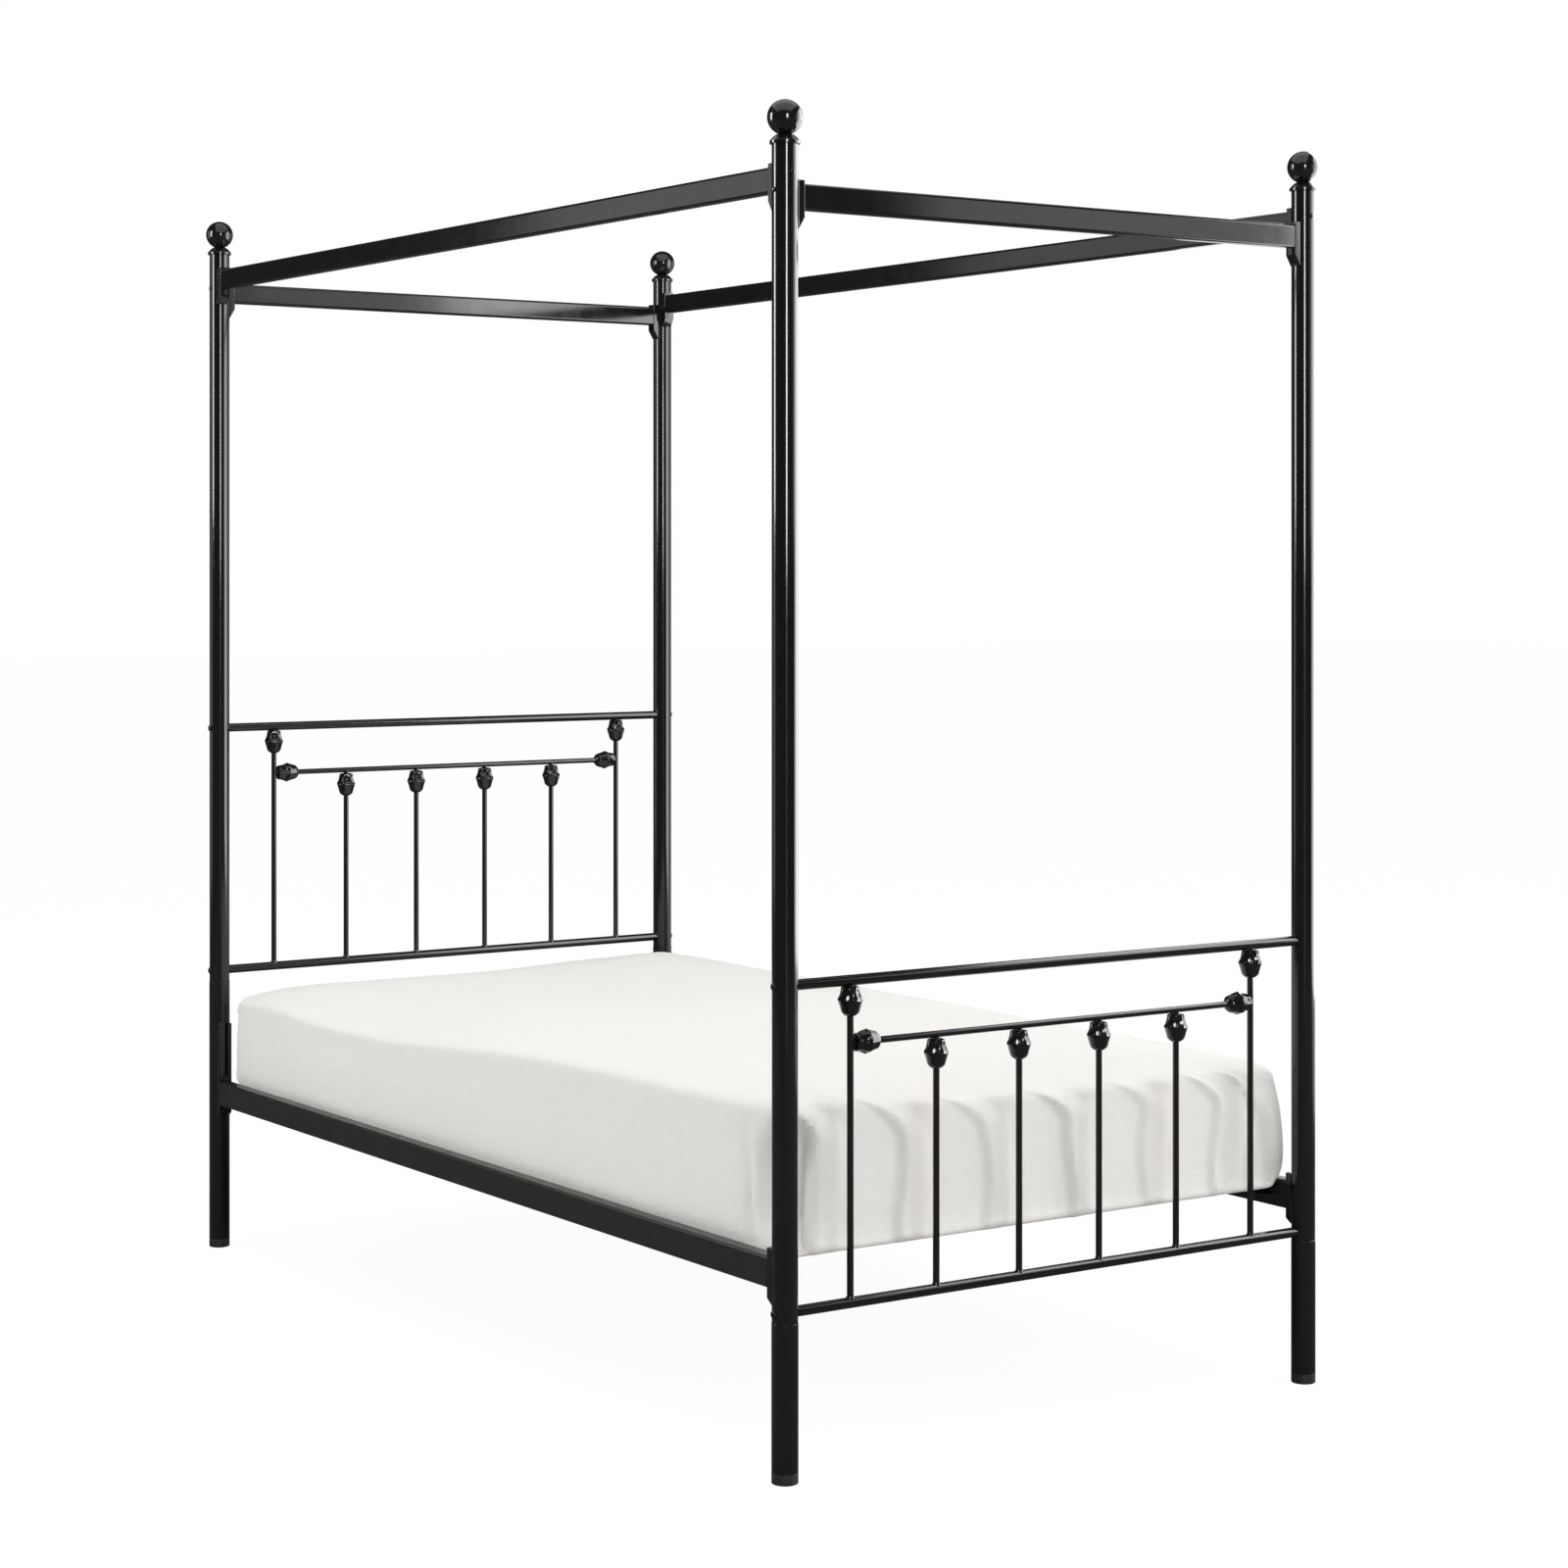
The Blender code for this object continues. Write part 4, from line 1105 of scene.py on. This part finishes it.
def settle(points):
    """Fits the filled body between the side rails, and shapes its ends, top and corners."""
    x, y, z = points.T
    inset, out_x, out_y = plan_inset(x, y)
    side = abs(out_x) * smooth(BODY_TOP_EDGE, 0, inset)
    up = (z - RAIL_TOP) / (BODY_HIGH - RAIL_TOP)
    back = BULGE_DRAWN_BACK * smooth(*BULGE_END, up)
    bulge = SIDE_BULGE * smooth(*BULGE_START, up) * (1 - back)
    x = x + np.sign(x) * side * bulge
    y = np.clip(y, -BODY_HALF_LENGTH, BODY_HALF_LENGTH)
    depth = np.clip((BODY_LOW + HEAD_LEAN_HEIGHT - z) / HEAD_LEAN_HEIGHT, 0, 1)
    head = np.maximum(out_y, 0) * smooth(BODY_TOP_EDGE, 0, inset)
    y = y - HEAD_LEAN * depth**1.5 * head
    high = smooth(BODY_LOW + TOP_ZONE, BODY_HIGH, z)
    rise_y, rises = np.array(LEFT_RISE).T
    rise = np.interp(y, rise_y, rises)
    spread = np.where(rise > 0, *LEFT_SPREAD)
    z = z + rise * high * np.exp(-(((x + BODY_HALF_WIDTH) / spread) ** 2))
    for at_x, at_y, spread_x, spread_y, height in HUMPS:
        far = ((x - at_x) / spread_x) ** 2 + ((y - at_y) / spread_y) ** 2
        z = z + height * high * np.exp(-far)
    for at_x, at_y, spread, size, top in HOLLOWS:
        near = np.exp(-((x - at_x) ** 2 + (y - at_y) ** 2) / spread**2)
        near = near * smooth(top, top - HOLLOW_FADE[1], z)
        near = near * smooth(BODY_LOW, BODY_LOW + HOLLOW_FADE[0], z)
        x = x - np.sign(at_x) * size * near
        y = y - np.sign(at_y) * size * near
    low = smooth(RAIL_TOP + RAIL_BLEND, RAIL_TOP - RAIL_BLEND, z)
    x = x + (np.clip(x, -BODY_HALF_WIDTH, BODY_HALF_WIDTH) - x) * low
    return np.stack([x, y, np.maximum(z, BODY_LOW)], axis=1)


def arch_folds(x, z, over_end, creases):
    """Heights of the soft arches at an end, where spare cloth leans over at each crease.

    Each crease runs up the end, and at the top edge it curls towards -X and dies out.
    """
    down = (BODY_HIGH - z) - over_end
    above, zone = FOLD_CURL_ZONE
    curl = FOLD_CURL * (1 - np.clip((down + above) / zone, 0, 1)) ** 2
    sway, by_height, by_width = FOLD_WAVER
    wander = sway * np.sin(by_height * z + by_width * x)
    along = np.interp(x + curl + wander, creases, np.arange(len(creases)))
    part = along % 1
    spacing = np.diff(creases)[np.minimum(along.astype(int), len(creases) - 2)]
    wave = smooth(0, FOLD_STEP, part * spacing) * (1 - smooth(*FOLD_DECAY, part))
    mean, swing, rate, phase = FOLD_VARIETY
    size = mean + swing * np.sin(rate * np.floor(along) + phase)
    return FOLD_HEIGHT * size * wave * smooth(*FOLD_FADE, down)


def noise_at(points, scale, seed):
    """Smooth noise from -1 to 1 at each point, with its own scale along each axis."""
    stretched = points * np.array(scale) + seed
    return np.array([noise.noise(point) for point in stretched.tolist()])


def groove(distance, width):
    """A crease: a narrow hollow with a soft roll of cloth beside it."""
    share, away, breadth = TUCK_ROLL
    roll = share * np.exp(-(((distance + away * width) / (breadth * width)) ** 2))
    return roll - np.exp(-((distance / width) ** 2))


def corner_creases(x, y, z):
    """Tucks in the cloth beside the corners, from just above the hem to near the top edge."""
    total = np.zeros(len(x))
    fade = smooth(*TUCK_FADE[0], z) * smooth(*TUCK_FADE[1], z)
    for sx in (-1, 1):
        on_side = smooth(*TUCK_ZONES[0], sx * x)
        for at, size, lean, width in SIDE_TUCKS:
            line = at + lean * (z - BODY_LOW)
            total += size * groove(y - line, width) * fade * on_side
    for sy, tucks in ((-1, FOOT_TUCKS), (1, HEAD_TUCKS)):
        on_end = smooth(*TUCK_ZONES[1], sy * y)
        for at, size, lean, width in tucks:
            line = at + lean * (z - BODY_LOW)
            total += size * groove(np.sign(-at) * (x - line), width) * fade * on_end
    return total


def sheet_relief(points):
    """How far the cloth stands off the body: folds, creases and slow undulation."""
    x, y, z = points.T
    inset, out_x, out_y = plan_inset(x, y)
    near_edge = smooth(RUFFLE_WIDTH, 0.0, inset)
    relief = np.zeros(len(x))
    for sy, creases in ((-1, FOOT_FOLDS), (1, HEAD_FOLDS)):
        round_corner = np.maximum(abs(out_y), smooth(0.0, FOLD_ROUND_CORNER, inset))
        on_end = smooth(*FOLD_FROM_END, sy * y) * round_corner
        over_end = np.maximum(BODY_HALF_LENGTH - abs(y), 0)
        relief += on_end * arch_folds(x, z, over_end, creases)
    relief += corner_creases(x, y, z)
    upright = smooth(BODY_HIGH, BODY_HIGH - BODY_TOP_EDGE, z)
    drapes = noise_at(points, *DRAPE[1:])
    relief += DRAPE[0] * upright * drapes
    relief += SWELL[0] * (1 - upright) * noise_at(points, *SWELL[1:])
    relief += RUFFLE[0] * near_edge * noise_at(points, *RUFFLE[1:])
    height, rate, sway = GATHERS
    gathers = np.sin(rate * (x * abs(out_y) + y * abs(out_x)) + sway * drapes)
    start, full = (BODY_LOW + up for up in GATHER_ZONE)
    relief += height * smooth(start, full, z) * gathers
    return np.maximum(relief, -RELIEF_LIMIT) * smooth(BODY_LOW, BODY_LOW + HEM_ZONE, z)


def make_sheet(rest, fine, places, normals):
    """The fitted sheet: the top, the sides and a strip tucked under, as a thin closed shell."""
    relief = sheet_relief(rest)
    points = places + normals * (relief + SHEET_THICKNESS)[:, None]
    underside = normals[:, 2] < FACING_DOWN
    points[underside, 2] = places[underside, 2]
    points[:, 1] = np.clip(points[:, 1], -END_LIMIT, END_LIMIT)
    inset = plan_inset(rest[:, 0], rest[:, 1])[0]
    bm = reshaped(fine, points)
    hidden = []
    for face in bm.faces:
        low = all(rest[v.index, 2] < BODY_LOW + LEVEL_SLACK for v in face.verts)
        deep = max(inset[v.index] for v in face.verts)
        if low and deep > SHEET_TUCK + BODY_CELLS[1] / 4:
            hidden.append(face)
    bmesh.ops.delete(bm, geom=hidden, context="FACES")
    shell = modified(bm, "SOLIDIFY", thickness=SHEET_THICKNESS, offset=-1.0)
    sheet = piece("stretched_fitted_sheet", shell, "cotton_sheet", ["fitted_sheet"],
                  body="mattress", flat_faces=False)


def make_mattress(rest, fine, places, normals):
    """The mattress inside the sheet, with a quilted underside."""
    side = np.hypot(normals[:, 0], normals[:, 1])
    points = places - normals * (FILLING_GAP + FILLING_INSET * side**2)[:, None]
    x, y, z = rest.T
    inset = plan_inset(x, y)[0]
    under = (z < BODY_LOW + LEVEL_SLACK) * smooth(SHEET_TUCK / 2, SHEET_TUCK, inset)
    across = np.sin(pi * (x + y) / QUILT_PITCH) * np.sin(pi * (x - y) / QUILT_PITCH)
    points[:, 2] += under * QUILT_DEPTH * (1 - np.sqrt(abs(across)))
    mattress = piece("quilted_mattress", reshaped(fine, points), "mattress_ticking", ["mattress"],
                     body="mattress", flat_faces=False)


def make_bedding():
    plain, quads = body_surface()
    rest_mesh = subdivided(plain, quads)
    rest = values(rest_mesh.vertices, "co")
    fine = subdivided(settle(filled_out(plain, quads)), quads)
    places, normals = values(fine.vertices, "co"), values(fine.vertex_normals, "vector")
    make_mattress(rest, fine, places, normals)
    make_sheet(rest, fine, places, normals)
    for mesh in (rest_mesh, fine):
        bpy.data.meshes.remove(mesh)


# Studio


def by_ray(tree, plain, in_reflections, to_camera):
    """One shader for matt surfaces, another in reflections and a third for the camera."""
    for ray, shade in (("Is Glossy Ray", in_reflections), ("Is Camera Ray", to_camera)):
        seen = add_node(tree, "LightPath", ray, {})
        plain = add_node(tree, "MixShader", "Shader", {"Fac": seen, 1: plain, 2: shade})
    return plain


def make_world():
    """White to the camera, a soft fill for matt surfaces, and dim in reflections."""
    world = bpy.data.worlds.new("studio")
    bpy.context.scene.world = world
    world.use_nodes = True
    tree = world.node_tree
    tree.nodes.clear()
    shades = [add_node(tree, "Background", "Background", {"Color": (1, 1, 1, 1), "Strength": level})
              for level in (WORLD_FILL, WORLD_REFLECTED, 1.0)]
    output = tree.nodes.new("ShaderNodeOutputWorld")
    feed(tree, output, {"Surface": by_ray(tree, *shades)})


def make_floor():
    """A pale floor that takes a faint shadow."""
    material = bpy.data.materials.new("studio_floor")
    material.use_nodes = True
    tree = material.node_tree
    tree.nodes.clear()
    bounce, reflected, shade = (
        add_node(tree, "BsdfDiffuse", "BSDF", {"Color": (grey, grey, grey, 1)})
        for grey in (FLOOR_BOUNCE, FLOOR_REFLECTED, FLOOR_SHADE))
    glow = add_node(tree, "Emission", "Emission", {"Strength": FLOOR_GLOW})
    seen = add_node(tree, "AddShader", "Shader", {0: glow, 1: shade})
    output = tree.nodes.new("ShaderNodeOutputMaterial")
    feed(tree, output, {"Surface": by_ray(tree, bounce, reflected, seen)})
    bm = bmesh.new()
    corners = rectangle(-FLOOR_HALF, FLOOR_HALF, -FLOOR_HALF, FLOOR_HALF)
    bm.faces.new([bm.verts.new((x, y, 0)) for x, y in corners])
    floor = add_object("studio_floor", bm)
    floor.data.materials.append(material)


def make_lights():
    """Softboxes that light the cloth, and others that draw the lines down the black tubes."""
    for name, place, target, size, radiance, use in LIGHTS:
        data = bpy.data.lights.new(name, "AREA")
        data.shape = "RECTANGLE"
        data.size, data.size_y = size
        data.energy = radiance * pi * size[0] * size[1]
        light = in_scene(name, data)
        aim = Vector(target) - Vector(place)
        light.location = place
        light.rotation_euler = aim.to_track_quat("-Z", "Y").to_euler()
        light.visible_camera = False
        light.visible_glossy = use != "lit"
        light.visible_diffuse = use != "seen"


def make_camera():
    data = bpy.data.cameras.new("camera")
    data.lens = CAMERA_LENS
    data.shift_x, data.shift_y = CAMERA_SHIFT
    camera = in_scene("camera", data)
    camera.location = CAMERA_PLACE
    camera.rotation_euler = CAMERA_TURN
    bpy.context.scene.camera = camera


MATERIALS = {}
make_materials()
make_camera()
make_world()
make_floor()
make_lights()
for end in ENDS:
    for side in SIDES:
        make_corner(end, side)
    make_panel(end)
    make_canopy_rail(end, "x")
for side in SIDES:
    make_canopy_rail(side, "y")
    make_side_rail(side)
for node in sorted(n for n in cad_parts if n.startswith("slat_")):
    make_slat(node)
make_bedding()
bpy.context.scene.view_settings.view_transform = "Standard"
